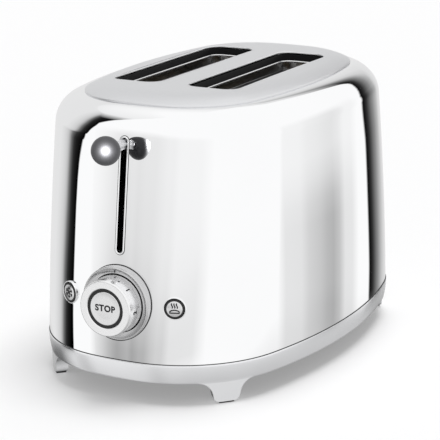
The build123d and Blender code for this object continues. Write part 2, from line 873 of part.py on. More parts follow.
with BuildPart() as ring_potentiometer:
    extrude(disc(frame_front, pot_radius, sleeve_radius + fit), amount=pot_front - frame_front)
ring_potentiometer.part.label = "ring_potentiometer"
export_step(ring_potentiometer.part, "parts/ring_potentiometer.step")

pillar_x = frame_half_width - pillar_inset
pillar_z = frame_half_height - pillar_inset
with BuildPart() as control_frame:
    with BuildSketch(front(frame_front - frame_wall)):
        with Locations((0, control_z)):
            RectangleRounded(2 * frame_half_width, 2 * frame_half_height, pillar_inset)
    extrude(amount=frame_wall)
    with BuildSketch(front(chassis_half_length + sheet)):
        with Locations((0, control_z)):
            with GridLocations(2 * pillar_x, 2 * pillar_z, 2, 2):
                Circle(pillar_radius)
    extrude(amount=frame_front - frame_wall - chassis_half_length - sheet)
    extrude(disc(0, post_radius + fit), amount=base_length, mode=Mode.SUBTRACT)
control_frame.part.label = "control_frame"
export_step(control_frame.part, "parts/control_frame.step")

# Control board behind the frame, with the stop switch, transformer, relay and capacitors
board_back = board_front - board_thick
with BuildPart() as control_board:
    with BuildSketch(front(board_back)):
        with Locations((0, control_z)):
            Rectangle(2 * (pillar_x - pillar_radius - 1), 2 * frame_half_height)
    extrude(amount=board_thick)
    with BuildSketch(front(board_front)):
        with Locations((0, control_z)):
            Rectangle(switch_side, switch_side)
    extrude(amount=stop_switch_front - board_front)
    with BuildSketch(front(board_back)):
        with Locations((-relay_x, control_z + relay_rise)):
            Rectangle(relay_width, relay_height)
        with Locations((relay_x, control_z + relay_rise)):
            Rectangle(relay_height, relay_width)
        with Locations((0, control_z + frame_half_height - 2 * capacitor_radius)):
            with GridLocations(capacitor_pitch, 0, 2, 1):
                Circle(capacitor_radius)
    extrude(amount=-part_depth)
control_board.part.label = "control_board"
export_step(control_board.part, "parts/control_board.step")

# Push buttons, each in a chrome rim and a black socket square to the corner of the body
for way, place in ((-1, "defrost"), (1, "reheat")):
    with BuildPart() as button_rim_part:
        with BuildSketch(button_plane(way, -socket_top - 1)):
            Circle(rim_radius)
            Circle(rim_radius - button_rim, mode=Mode.SUBTRACT)
        extrude(amount=socket_top + 1 + rim_front)
    button_rim_part.part.label = place + "_rim"
    export_step(button_rim_part.part, "parts/" + place + "_rim.step")

    with BuildPart() as push_button:
        with BuildSketch(button_plane(way, button_proud - button_head)):
            Circle(button_radius)
        extrude(amount=button_head)
        fillet(push_button.faces().sort_by(Axis.Y)[0].edges(), 0.5)
        with BuildSketch(button_plane(way, press_travel + button_gap + socket_floor - socket_depth)):
            Circle(button_stem)
        extrude(amount=socket_depth - press_travel - button_gap - socket_floor)
    push_button.part.label = place + "_button"
    export_step(push_button.part, "parts/" + place + "_button.step")

    with BuildPart() as button_socket:
        with BuildSketch(button_plane(way, -socket_depth)):
            Circle(socket_radius)
        extrude(amount=socket_depth - socket_top)
        with BuildSketch(button_plane(way, -socket_top - 1)):
            Circle(rim_radius + fit)
        extrude(amount=socket_depth, mode=Mode.SUBTRACT)
        with BuildSketch(button_plane(way, button_proud - button_head - press_travel - button_gap)):
            Circle(rim_radius - button_rim)
        extrude(amount=socket_depth, mode=Mode.SUBTRACT)
        with BuildSketch(button_plane(way, socket_floor - socket_depth)):
            Circle(button_stem + running_fit)
        extrude(amount=socket_depth, mode=Mode.SUBTRACT)
    button_socket.part.label = place + "_socket"
    export_step(button_socket.part, "parts/" + place + "_socket.step")

# Bottom plate with bosses, tray rails, vents and cleats for the cord
screw_spots = [(sx * screw_x, sy * screw_y) for sx, sy in pairs]
gland_radius = gland_bore + gland_wall
with BuildPart() as bottom_plate:
    extrude(ring_oval(ring_low, ring_tuck + ring_wall + bottom_play), amount=bottom_thick)
    with BuildSketch(level(bottom_top)):
        with Locations(*screw_spots):
            Circle(boss_radius)
    extrude(amount=chassis_low - bottom_top)
    with BuildSketch(level(bottom_top)):
        with GridLocations(2 * (tray_half_width + window_play) + rail_wall, 0, 2, 1):
            Rectangle(rail_wall, 2 * (tray_front + rail_end))
    extrude(amount=tray_height)
    cleat_low = ring_low - cleat_drop - cleat_cap
    with BuildSketch(level(cleat_low)):
        with GridLocations(0, 2 * cleat_y, 1, 2):
            Rectangle(cleat_length, cleat_width)
    extrude(amount=ring_low - cleat_low)
    with BuildSketch(level(cleat_low)):
        with GridLocations(0, 2 * cleat_y, 1, 2):
            Rectangle(cleat_cap_length, cleat_cap_width)
    extrude(amount=cleat_cap)
    with BuildSketch(level(0)):
        with GridLocations(2 * vent_x, vent_pitch, 2, vent_count):
            SlotOverall(vent_length, vent_width)
        with Locations(*screw_spots):
            Circle(screw_radius + running_fit)
        with Locations((gland_x, gland_y)):
            Circle(gland_radius + running_fit)
    extrude(amount=height, mode=Mode.SUBTRACT)
bottom_plate.part.label = "bottom_plate"
export_step(bottom_plate.part, "parts/bottom_plate.step")

with BuildPart() as base_screws:
    with BuildSketch(level(ring_low - head_thick)):
        with Locations(*screw_spots):
            Circle(screw_head)
    extrude(amount=head_thick)
    with BuildSketch(level(ring_low)):
        with Locations(*screw_spots):
            Circle(screw_radius)
    extrude(amount=chassis_low + sheet - ring_low)
base_screws.part.label = "base_screws"
export_step(base_screws.part, "parts/base_screws.step")

# Cord gland: a flanged bush through the bottom plate
with BuildPart() as cord_gland:
    with BuildSketch(level(ring_low - gland_flange)):
        with Locations((gland_x, gland_y)):
            Circle(gland_radius + 2)
    extrude(amount=gland_flange)
    with BuildSketch(level(ring_low)):
        with Locations((gland_x, gland_y)):
            Circle(gland_radius)
    extrude(amount=bottom_thick + gland_flange)
    with BuildSketch(level(0)):
        with Locations((gland_x, gland_y)):
            Circle(gland_bore)
    extrude(amount=height, mode=Mode.SUBTRACT)
cord_gland.part.label = "cord_gland"
export_step(cord_gland.part, "parts/cord_gland.step")

with BuildPart() as terminal_block:
    block_spot = (gland_x - block_gap - block_width / 2, base_sheet_rear - block_end - block_depth / 2)
    with BuildSketch(level(rod_foot)):
        with Locations(block_spot):
            Rectangle(block_width, block_depth)
    extrude(amount=block_height)
    with BuildSketch(level(rod_foot + terminal_floor)):
        with Locations(block_spot):
            with GridLocations(terminal_pitch, 0, 3, 1):
                Circle(terminal_bore)
    extrude(amount=block_height, mode=Mode.SUBTRACT)
terminal_block.part.label = "terminal_block"
export_step(terminal_block.part, "parts/terminal_block.step")


# Crumb tray and its pull, which fills the window in the ring
pull_depth = ring_tuck + ring_wall - 1
with BuildPart() as crumb_tray:
    with BuildSketch(level(tray_z)):
        with Locations((0, (base_length - tray_front) / 2)):
            Rectangle(2 * tray_half_width, base_length + tray_front)
    extrude(amount=tray_height)
    extrude(ring_oval(tray_z, pull_depth + running_fit), amount=tray_height, mode=Mode.INTERSECT)
    offset(amount=-tray_wall, openings=crumb_tray.faces().sort_by(Axis.Z)[-1], kind=Kind.INTERSECTION)
crumb_tray.part.label = "crumb_tray"
export_step(crumb_tray.part, "parts/crumb_tray.step")

with BuildPart() as tray_pull:
    with BuildSketch(level(tray_z)):
        with Locations((0, base_length / 2)):
            Rectangle(2 * tray_half_width, base_length)
    extrude(amount=tray_height)
    add(loft([ring_oval(z, inset) for z, inset in ring_levels], mode=Mode.PRIVATE), mode=Mode.INTERSECT)
    extrude(ring_oval(tray_z, pull_depth), amount=tray_height, mode=Mode.SUBTRACT)
    with BuildSketch(front(-base_length / 2)):
        with Locations((0, tray_z + tray_height / 2)):
            SlotOverall(pull_width, pull_height)
    extrude(amount=pull_depth / 2, both=True, mode=Mode.SUBTRACT)
tray_pull.part.label = "tray_pull"
export_step(tray_pull.part, "parts/tray_pull.step")
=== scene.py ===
import json
import math

import bmesh
import bpy
from bpy.props import FloatProperty, FloatVectorProperty, IntProperty, PointerProperty
from bpy.types import Operator, Panel, PropertyGroup
from mathutils import Matrix, Vector
from mathutils.bvhtree import BVHTree


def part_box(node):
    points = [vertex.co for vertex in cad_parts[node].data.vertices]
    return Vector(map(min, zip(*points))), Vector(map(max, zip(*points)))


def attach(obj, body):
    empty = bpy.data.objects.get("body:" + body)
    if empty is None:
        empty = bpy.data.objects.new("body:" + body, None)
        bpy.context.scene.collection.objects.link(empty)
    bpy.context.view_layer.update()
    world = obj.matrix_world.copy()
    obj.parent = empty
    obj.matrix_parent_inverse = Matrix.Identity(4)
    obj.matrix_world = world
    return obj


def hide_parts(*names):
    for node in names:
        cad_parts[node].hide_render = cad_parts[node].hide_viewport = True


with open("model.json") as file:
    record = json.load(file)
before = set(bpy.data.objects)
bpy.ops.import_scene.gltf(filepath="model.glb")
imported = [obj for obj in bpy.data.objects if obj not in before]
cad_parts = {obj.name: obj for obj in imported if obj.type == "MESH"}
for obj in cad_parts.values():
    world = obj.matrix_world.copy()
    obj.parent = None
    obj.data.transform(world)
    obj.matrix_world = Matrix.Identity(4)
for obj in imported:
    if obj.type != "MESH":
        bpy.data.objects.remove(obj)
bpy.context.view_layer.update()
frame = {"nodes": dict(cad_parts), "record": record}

bl_info = {
    "name": "Two-Slot Toaster",
    "version": (1, 0, 0),
    "blender": (4, 5, 0),
    "location": "3D View > Sidebar > Toaster",
    "description": "Dresses the toaster's frame in chrome, satin steel, black plastic and wire",
    "category": "Object",
}


def half_of(low, high):
    """Half the width and half the length of a box."""
    return (high.x - low.x) / 2, (high.y - low.y) / 2


MM = 0.001


# Boxes of the frame

RING_LOW, RING_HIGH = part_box("base_ring")
RING_HALF = half_of(RING_LOW, RING_HIGH)
RING_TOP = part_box("body_shell")[0].z
CENTRE_Y = ((RING_LOW + RING_HIGH) / 2).y
PLATE_LOW, PLATE_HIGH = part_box("top_plate")
SLOT_LOW, SLOT_HIGH = (corner.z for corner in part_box("lever_bezel"))


# Form of the toaster

LEVER_TRAVEL = 66 * MM  # how far the lever goes down
WELL_HALF = (15.5 * MM, 69.5 * MM)  # half the width and length of a bread opening
WELL_CORNER = 7 * MM
FOOT_TURN = math.radians(41)  # where a foot stands on its corner, from the side to the end
WALL_POWER = {"side": 1.8, "end": 1.1}  # over 1, the walls lean in faster higher up
TUCK_POWER = 1.84  # over 1, the ring draws in faster lower down
SLOT_END_TURN = 3  # degrees of the shoulder's curve at the top of the lever's slot
SHOULDER_TURN = 80  # degrees of the shoulder's curve at its own end
SHEET = 1.2 * MM  # thickness of the skin and of the slots' collars
MARK_DEPTH = 0.05 * MM  # how far a printed mark stands up
SIDES = ((-1, "left"), (1, "right"))
CORNERS = ((1, -1), (1, 1), (-1, 1), (-1, -1))


# Studio

STUDIO_WHITE = 0.975  # brightness of the open room
ROOM_DIMMING = 0.566  # how much of it dull surfaces don't get
BLACK = (0.0, 0.0, 0.0)
TARGET = Vector((-0.00287, 0.00735, 0.08633))  # what the camera and the lamps look at
CAMERA_SPOT = (0.63896, -1.15539, 0.44506)
CAMERA_ROLL = -0.57  # degrees
CAMERA_LENS = 157.9  # millimetres


# Settings


def length(name, description, default, **more):
    """A size in metres that the panel shows."""
    return FloatProperty(
        name=name, description=description, default=default, unit="LENGTH", precision=5, **more
    )


def colour(name, description, default):
    """A linear colour that the panel shows."""
    return FloatVectorProperty(
        name=name, description=description, default=default, subtype="COLOR", min=0, max=1
    )


class ToasterSizes(PropertyGroup):
    """Sizes of the toaster's skin, ring, plate and controls"""

    side_bow: length("Side Bow", "Radius of the long sides in plan", 0.356)
    end_bow: length("End Bow", "Radius of the two ends in plan", 0.211)
    ring_corner: length("Ring Corner", "Corner radius of the base ring in plan", 0.078)
    ring_foot: length("Ring Foot", "Height of the ring's lower edge between the feet", 0.015)
    ring_tuck: length("Ring Tuck", "How far the ring draws in towards its lower edge", 0.0015)
    ring_wall: length("Ring Wall", "Thickness of the ring", 0.0025)
    foot_tuck: length("Foot Tuck", "How far a foot draws in at its sole", 0.002)
    foot_round: length("Foot Round", "Radius of a foot's lower corners", 0.003)
    foot_depth: length("Foot Depth", "Thickness of a foot", 0.0085)
    foot_width: length("Foot Width", "Width of a foot at its sole", 0.0165)
    foot_flare: length("Foot Flare", "How much a foot widens on each side", 0.0032)
    foot_root: length("Foot Root", "Radius where a foot runs into the ring", 0.008)
    sole: length("Sole", "Height of the rubber below the ring's feet", 0.0012)
    ring_step: length("Ring Step", "Step from the ring in to the skin", 0.0006)
    side_lean: length("Side Lean", "How far the long sides lean in below the shoulder", 0.0046)
    end_lean: length("End Lean", "How far the ends lean in below the shoulder", 0.0174)
    corner_lean: length("Corner Lean", "How much the corner radius shrinks on the way up", 0.008)
    shoulder: length("Shoulder", "Height at which the shoulder begins", 0.172)
    shoulder_rise: length("Shoulder Rise", "Height of the shoulder's curve", 0.020)
    shoulder_side: length("Shoulder Side", "Depth of the shoulder's curve on the sides", 0.022)
    shoulder_end: length("Shoulder End", "Depth of the shoulder's curve at the ends", 0.013)
    shoulder_corner: length("Shoulder Corner", "How much the corner shrinks up there", 0.012)
    plate_corner: length("Plate Corner", "Corner radius of the top plate", 0.05415)
    slot_centre: length("Slot Centre", "Distance of each slot from the middle", 0.0289)
    slot_width: length("Slot Width", "Width of each slot in the plate", 0.0368)
    slot_length: length("Slot Length", "Length of each slot in the plate", 0.1445)
    well_drop: length("Well Drop", "How far the bright edge lies under the slot", 0.0048)
    slot_corner: length("Slot Corner", "Corner radius of each slot", 0.010)
    lever_slot_width: length("Lever Slot Width", "Width of the lever's slot", 0.0044)
    knob_height: length("Knob Height", "Height of the knob's middle", 0.0659)
    knob_radius: length("Knob Radius", "Radius of the knob's face", 0.019)
    stop_radius: length("Stop Radius", "Radius of the stop button's disc", 0.0113)
    button_offset: length("Button Offset", "Distance of each button from the middle", 0.0398)
    button_radius: length("Button Radius", "Radius of each round button", 0.0066)
    columns: IntProperty(name="Columns", description="Steps along each corner", default=22)


class ToasterColours(PropertyGroup):
    """Colours of the toaster's finishes"""

    chrome: colour("Chrome", "Mirror chrome of the skin", (0.975, 0.978, 0.985))
    ring: colour("Ring", "Softer chrome of the base ring", (0.93, 0.935, 0.95))
    satin: colour("Satin", "Satin steel of the top plate", (0.80, 0.805, 0.82))
    spun: colour("Spun", "Turned steel of the knob and the buttons", (0.97, 0.97, 0.975))
    # The ball's near-black tone is painted reflection: it stands for the dark surroundings that
    # the polished ball reflects.
    ball: colour("Ball", "Dark polished steel of the lever's ball", (0.05, 0.05, 0.053))
    sheet: colour("Sheet", "Zinc-coated sheet inside", (0.42, 0.42, 0.43))
    black: colour("Black", "Black plastic and enamel", (0.006, 0.006, 0.0065))
    rubber: colour("Rubber", "Rubber of the foot pads", (0.018, 0.018, 0.019))
    ink: colour("Ink", "Printed marks", (0.006, 0.006, 0.008))
    mica: colour("Mica", "Mica of the heater boards", (0.36, 0.29, 0.20))
    floor: colour("Floor", "The pale floor", (0.955, 0.955, 0.96))


# Materials


class Value:
    """A number or colour socket of a material that takes plain arithmetic."""

    def __init__(self, recipe, socket):
        self.recipe = recipe
        self.socket = socket

    def __add__(self, other):
        return self.recipe.maths("ADD", self, other)

    def __sub__(self, other):
        return self.recipe.maths("SUBTRACT", self, other)

    def __rsub__(self, other):
        return self.recipe.maths("SUBTRACT", other, self)

    def __mul__(self, other):
        return self.recipe.maths("MULTIPLY", self, other)

    def __truediv__(self, other):
        return self.recipe.maths("DIVIDE", self, other)

    __radd__ = __add__
    __rmul__ = __mul__


class Recipe:
    """One material, or the studio's light, mixed from nodes."""

    def __init__(self, name, world=None):
        plain = bpy.data.materials.get(name)
        if plain:
            bpy.data.materials.remove(plain)
        self.material = world or bpy.data.materials.new(name)
        self.material.use_nodes = True
        self.tree = self.material.node_tree
        self.tree.nodes.clear()
        self.place = self.node("ShaderNodeTexCoord", output="Generated" if world else "Object")

    def node(self, kind, settings=None, inputs=None, output=0):
        """Adds a node with its settings, then its inputs, and returns one output."""
        made = self.tree.nodes.new(kind)
        for name, value in (settings or {}).items():
            if name == "stops":
                elements = made.color_ramp.elements
                elements[0].position, elements[1].position = value[0][0], value[-1][0]
                for place, _ in value[1:-1]:
                    elements.new(place)
                for element, (_, tone) in zip(elements, value):
                    element.color = (tone, tone, tone, 1)
            else:
                setattr(made, name, value)
        for key, value in (inputs or {}).items():
            if isinstance(value, Value):
                self.tree.links.new(value.socket, made.inputs[key])
            else:
                made.inputs[key].default_value = value
        return Value(self, made.outputs[output]) if len(made.outputs) else None

    def maths(self, operation, *inputs):
        """A Math node on numbers or sockets."""
        return self.node("ShaderNodeMath", {"operation": operation}, dict(enumerate(inputs)))

    def vector_maths(self, operation, *inputs, output=0):
        """A Vector Math node on vectors or sockets."""
        settings = {"operation": operation}
        return self.node("ShaderNodeVectorMath", settings, dict(enumerate(inputs)), output)

    def blend(self, share, first, second):
        """A colour that goes from first to second."""
        first, second = (c if isinstance(c, Value) else (*c, 1) for c in (first, second))
        inputs = {0: share, 6: first, 7: second}
        return self.node("ShaderNodeMix", {"data_type": "RGBA"}, inputs, output=2)

    def along(self, axis):
        """The place along one axis."""
        return self.node("ShaderNodeSeparateXYZ", None, {0: self.place}, output=axis)

    def path(self, kind):
        """1 for rays of that kind and 0 for the others."""
        return self.node("ShaderNodeLightPath", output=f"Is {kind} Ray")

    def noise(self, scale, detail=2, stretch=None):
        """Cloudy noise over the piece, from 0 to 1, drawn out by stretch."""
        place = self.place
        if stretch:
            place = self.node("ShaderNodeMapping", None, {"Vector": place, "Scale": stretch})
        inputs = {"Vector": place, "Scale": scale, "Detail": detail}
        return self.node("ShaderNodeTexNoise", None, inputs)

    def flakes(self, scale):
        """Flakes over the piece, each with a tone of its own."""
        inputs = {"Vector": self.place, "Scale": scale}
        cells = self.node("ShaderNodeTexVoronoi", None, inputs, output="Color")
        return self.node("ShaderNodeSeparateColor", None, {0: cells})

    def ramp(self, value, *stops):
        """A tone that follows value through the stops."""
        return self.node("ShaderNodeValToRGB", {"stops": stops}, {0: value})

    def curve(self, value, *points):
        """A number from 0 to 1 that follows value through the points."""
        low, high = points[0][0], points[-1][0]
        stops = [((x - low) / (high - low), y) for x, y in points]
        return self.ramp((value - low) / (high - low), *stops)

    def finish(self, tone, roughness, bump, **more):
        """Closes the recipe with the surface shader, and returns the material.

        A bump is a height, its depth in metres and its strength."""
        relief = dict(zip(("Height", "Distance", "Strength"), bump))
        inputs = {key.replace("_", " "): value for key, value in more.items()}
        inputs["Base Color"] = tone
        inputs["Roughness"] = roughness
        inputs["Normal"] = self.node("ShaderNodeBump", None, relief)
        shader = self.node("ShaderNodeBsdfPrincipled", None, inputs)
        self.node("ShaderNodeOutputMaterial", None, {"Surface": shader})
        return self.material


def shade(tint, share):
    """A colour with each part times share."""
    return tuple(part * share for part in tint)


def mirror_chrome(tint):
    """Mirror-polished chrome with faint wipe marks and a slight waviness of drawn sheet."""
    mix = Recipe("mirror_chrome")
    wipes, haze, waves = mix.noise(60, 4, (1.0, 1.0, 0.15)), mix.noise(14, 3), mix.noise(11, 1)
    tone = mix.blend(haze, tint, shade(tint, 0.97))
    return mix.finish(tone, wipes * haze * 0.05 + 0.008, (waves, 0.0004, 0.05), Metallic=1.0)


def soft_chrome(tint):
    """Chrome over a cast part, a little cloudy."""
    mix = Recipe("soft_chrome")
    cloud, grain = mix.noise(35, 5), mix.noise(900, 2)
    tone = mix.blend(cloud, tint, shade(tint, 0.90))
    return mix.finish(tone, cloud * 0.14 + 0.14, (grain, 0.00002, 0.3), Metallic=1.0)


def satin_steel(tint):
    """Steel brushed along the toaster, seen as fine lines in gloss and tone."""
    mix = Recipe("satin_steel")
    lines, cloud = mix.noise(1.0, 4, (2600.0, 26.0, 2600.0)), mix.noise(12, 2)
    tone = mix.blend(lines, shade(tint, 0.92), tint)
    rough = lines * 0.10 + cloud * 0.05 + 0.27
    return mix.finish(tone, rough, (lines, 0.00001, 0.35), Metallic=1.0)


def spun_steel(tint, name, centre, outwards):
    """Steel turned about the axis through centre, with rings as fine as a lathe leaves."""
    mix = Recipe(name)
    from_axis = mix.vector_maths("SUBTRACT", mix.place, centre)
    across = mix.vector_maths("CROSS_PRODUCT", from_axis, outwards)
    radius = mix.vector_maths("LENGTH", across, output="Value")
    inputs = {"W": radius * 4200.0, "Scale": 1.0, "Detail": 3}
    rings = mix.node("ShaderNodeTexNoise", {"noise_dimensions": "1D"}, inputs)
    tone = mix.blend(rings, shade(tint, 0.90), tint)
    rough = rings * 0.08 + mix.noise(90, 2) * 0.05 + 0.17
    return mix.finish(tone, rough, (rings, 0.00001, 0.4), Metallic=1.0)


def ball_steel(tint):
    """Steel of the ball, tumbled soft under a thin clear coat, with a near-black tone that paints
    the dark surroundings it reflects: painted reflection.
    """
    mix = Recipe("ball_steel")
    cloud, specks = mix.noise(180, 3), mix.noise(1800, 2)
    return mix.finish(
        mix.blend(cloud, shade(tint, 0.9), tint), cloud * 0.04 + 0.5, (specks, 0.00001, 0.3),
        Metallic=1.0, Coat_Weight=0.15, Coat_Roughness=0.35
    )


def zinc_sheet(tint):
    """Zinc-coated sheet with spangle and a rolled grain."""
    mix = Recipe("zinc_sheet")
    spangle, grain = mix.flakes(160), mix.noise(1.0, 3, (40.0, 900.0, 900.0))
    tone = mix.blend(spangle * 0.6 + grain * 0.4, shade(tint, 0.78), tint)
    rough = spangle * 0.12 + grain * 0.08 + 0.26
    return mix.finish(tone, rough, (grain, 0.00002, 0.3), Metallic=1.0)


def bright_sheet(tint):
    """Bright rolled aluminium with long shallow waves."""
    mix = Recipe("bright_sheet")
    waves, grain = mix.noise(30, 2, (1.0, 1.0, 0.3)), mix.noise(1.0, 3, (900.0, 30.0, 900.0))
    tone = mix.blend(grain, shade(tint, 0.9), tint)
    return mix.finish(tone, grain * 0.1 + 0.16, (waves, 0.0006, 0.25), Metallic=1.0)


def heat_wire(tint):
    """Steel wire and pressings that heat has tinted a little."""
    mix = Recipe("heat_wire")
    blush, draw = mix.noise(28, 3), mix.noise(700, 2)
    straw = (tint[0] * 0.95, tint[1] * 0.82, tint[2] * 0.66)
    tone = mix.blend(mix.ramp(blush, (0.45, 0.0), (0.75, 0.7)), tint, straw)
    return mix.finish(tone, draw * 0.12 + 0.24, (draw, 0.00002, 0.3), Metallic=1.0)


def black_plastic(tint):
    """Moulded black plastic with a fine spark-eroded grain."""
    mix = Recipe("black_plastic")
    grain = mix.node("ShaderNodeTexVoronoi", None, {"Vector": mix.place, "Scale": 2600})
    bloom = mix.noise(45, 3)
    tone = mix.blend(bloom, tint, shade(tint, 1.8))
    return mix.finish(tone, bloom * 0.15 + 0.38, (grain, 0.00004, 0.35))


def black_enamel(tint):
    """Dull black enamel on pressed sheet, with a faint orange peel."""
    mix = Recipe("black_enamel")
    peel, film = mix.noise(420, 2), mix.noise(30, 2)
    tone = mix.blend(film, tint, shade(tint, 1.6))
    return mix.finish(
        tone, film * 0.15 + 0.42, (peel, 0.00006, 0.3), Specular_IOR_Level=0.08
    )


def foot_rubber(tint):
    """Dull rubber with fine pits and a little dust."""
    mix = Recipe("foot_rubber")
    pits, dust = mix.noise(1500, 3), mix.noise(120, 4)
    tone = mix.blend(mix.ramp(dust, (0.5, 0.0), (0.85, 0.5)), tint, (0.09, 0.088, 0.085))
    return mix.finish(tone, dust * 0.2 + 0.68, (pits, 0.00008, 0.5))


def mica_board(tint):
    """Flaked mica with the darker heater ribbons that are wound across it."""
    mix = Recipe("mica_board")
    flakes = mix.flakes(260)
    low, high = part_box("heater_board_left_outer")
    turn = (mix.along("Z") - low.z) * (10 / (high.z - low.z))
    off = mix.maths("ABSOLUTE", mix.maths("FRACT", turn + 0.5) - 0.5)
    ribbon = mix.maths("LESS_THAN", off, 0.07)
    board = mix.blend(flakes, shade(tint, 0.62), tint)
    tone = mix.blend(ribbon, board, (0.16, 0.145, 0.14))
    rough = 0.62 - ribbon * 0.25 + flakes * 0.1
    return mix.finish(tone, rough, (flakes, 0.00005, 0.3), Metallic=ribbon * 0.9)


def circuit_board():
    """Green lacquer over copper tracks."""
    mix = Recipe("circuit_board")
    upright = {"Vector": mix.place, "Rotation": (math.pi / 2, 0, 0)}
    place = mix.node("ShaderNodeMapping", None, upright)
    bricks = {"Vector": place, "Scale": 130, "Mortar Size": 0.06}
    tracks = mix.node("ShaderNodeTexBrick", {"offset": 0.37}, bricks, output="Fac")
    tone = mix.blend(tracks, (0.012, 0.09, 0.035), (0.04, 0.19, 0.06))
    return mix.finish(tone, mix.noise(200, 2) * 0.2 + 0.25, (tracks, 0.00004, 0.5))


def pale_plastic():
    """Milky moulded plastic of the terminal block."""
    mix = Recipe("pale_plastic")
    cloud = mix.noise(150, 3)
    tone = mix.blend(cloud, (0.60, 0.58, 0.52), (0.72, 0.70, 0.65))
    return mix.finish(tone, cloud * 0.15 + 0.35, (mix.noise(900, 2), 0.00003, 0.3))


def wound_iron():
    """The electromagnet's copper turns over dark iron."""
    mix = Recipe("wound_iron")
    turns = mix.maths("SINE", mix.along("Z") * 9000.0)
    wear = mix.noise(260, 3)
    tone = mix.blend(wear, (0.42, 0.16, 0.07), (0.25, 0.10, 0.05))
    return mix.finish(tone, wear * 0.2 + 0.3, (turns, 0.0001, 0.6), Metallic=0.9)


def printed_ink(tint):
    """Dark printed ink, a little uneven."""
    mix = Recipe("printed_ink")
    body = mix.noise(1400, 2)
    tone = mix.blend(body, tint, shade(tint, 2))
    return mix.finish(tone, body * 0.2 + 0.45, (body, 0.00001, 0.3))


def floor_paper(tint):
    """Plain pale studio floor, which glows a little to the camera and so runs into white."""
    mix = Recipe("floor_paper")
    tooth = mix.noise(220, 3)
    seen = mix.path("Camera")
    paper = mix.blend(tooth, tint, shade(tint, 0.995))
    return mix.finish(
        mix.blend(seen * 0.3, paper, BLACK), 0.9, (tooth, 0.00002, 0.1), Specular_IOR_Level=0.1,
        Emission_Color=mix.blend(seen, BLACK, (0.29, 0.29, 0.29)), Emission_Strength=1.0
    )


def studio_light(world):
    """A white studio whose mirrors see two dark flats, with pale grey behind and soft panels.

    A direction has a turn, in degrees from +Y towards +X, and a climb from the horizon."""
    mix = Recipe("studio", world)
    x, y, z = (mix.along(axis) for axis in "XYZ")
    turn = mix.maths("ARCTAN2", x, y) * (180 / math.pi)
    climb = mix.maths("ARCSINE", z) * (180 / math.pi)

    def edge(*points):
        """The turn of a flat's edge, at each climb."""
        return mix.curve(climb, *((at, (where + 180) / 360) for at, where in points)) * 360 - 180

    def lightest(first, second):
        return mix.maths("MAXIMUM", first, second)

    left = turn - edge(
        (-40, -109.5), (-11, -110), (-8, -111.6), (-6, -112.5), (-4.8, -113.6), (-3.9, -115.2),
        (-3.1, -117.8), (-2, -121.8), (0.5, -125.4), (4, -127.2), (8.6, -128.7), (18.3, -131.7),
        (35, -134.2), (60, -140)
    )
    left_tone = mix.curve(
        left - mix.curve(climb, (-15, 1), (-8, 0)) * 4, (0, 0), (6, 0.012), (9, 0.03),
        (12, 0.11), (14, 0.2), (17, 0.43), (19.5, 0.57), (23, 0.66), (29, 0.74), (37, 0.8),
        (60, 0.8)
    )
    left_tone = lightest(left_tone, mix.curve(climb, (35, 0), (46, 0.9)))
    rear = edge(
        (-40, 10), (-16, 10.2), (-13.3, 11.3), (-11, 12), (-9.8, 13.4), (-7, 14.6), (3.4, 15.6),
        (8, 14.2), (12.4, 11.9), (16, 9), (18.4, 6.4), (21.8, 1.2), (24.6, -2.7), (28.5, -6.2),
        (32, -9), (40, -20)
    ) - turn
    rear_tone = mix.curve(
        rear, (0, 0.004), (1.5, 0.012), (3, 0.035), (4.6, 0.1), (6.2, 0.19), (7.7, 0.27),
        (9.7, 0.42), (11.5, 0.55), (13.7, 0.66), (20, 0.75), (40, 0.81)
    )
    rear_tone = lightest(rear_tone, mix.curve(climb, (24, 0), (32, 0.85)))
    flats = mix.maths("MINIMUM", left_tone, rear_tone)
    flats = flats + (1 - flats) * mix.curve(climb, (42, 0), (70, 1))
    open_room = lightest(mix.curve(left, (-1, 1), (0.2, 0)), mix.curve(rear, (-1, 1), (0.2, 0)))
    tone = lightest(flats, open_room)

    round_turn = turn + mix.maths("LESS_THAN", turn, 0) * 360
    front = mix.curve(
        round_turn, (135, 0), (148, 0.3), (171, 0.33), (178, 0.55), (184, 0.56), (190, 0.69),
        (196, 0.87), (201, 0.88), (204, 1), (206, 0.88), (210.5, 1), (214, 0.8), (217, 0.55),
        (220, 0.33), (226, 0)
    )
    front_depth = mix.curve(
        climb, (-30, 0), (-15, 0), (-13, 0.45), (-11.5, 0.61), (-9, 0.6), (-7, 0.5), (-5, 0.33),
        (-3, 0.24), (0, 0.2), (10, 0.18), (22, 0)
    )
    side = mix.curve(
        turn, (18, 0), (22, 0.35), (26, 0.38), (29, 0.8), (32, 1), (35, 0.93), (38, 0.78),
        (43, 0.62), (46, 0.4), (52, 0.36), (55, 0)
    )
    side_depth = mix.curve(
        climb, (-30, 0.6), (-18, 0.6), (-16, 0.53), (-13, 0.53), (-12, 0.45), (-11, 0.3),
        (-10, 0.2), (5, 0.18), (16, 0)
    )
    tone = tone * (1 - front * front_depth) * (1 - side * side_depth)

    table = mix.curve(
        round_turn, (0, 0.6), (40, 0.66), (90, 0.72), (150, 0.75), (170, 0.8), (185, 0.68),
        (200, 0.86), (225, 0.92), (236, 0.62), (246, 0.66), (256, 0.85), (266, 0.6),
        (280, 0.17), (320, 0.1), (360, 0.3)
    )
    table = table * mix.curve(climb, (-90, 0.45), (-45, 0.8), (-25, 1))
    down = mix.curve(climb, (-23, 1), (-17, 0))
    tone = tone * (1 - down) + table * down
    mirrored = mix.path("Glossy") * (tone - STUDIO_WHITE)
    strength = STUDIO_WHITE + mirrored - mix.path("Diffuse") * ROOM_DIMMING
    glow = mix.node("ShaderNodeBackground", None, {"Color": (1, 1, 1, 1), "Strength": strength})
    mix.node("ShaderNodeOutputWorld", None, {"Surface": glow})


# Shapes


def arc(centre, radius, start, end, steps):
    """Points of an arc in a flat outline, from start to end in degrees."""
    turns = (math.radians(start + (end - start) * i / steps) for i in range(steps + 1))
    return [(centre[0] + radius * math.cos(t), centre[1] + radius * math.sin(t)) for t in turns]


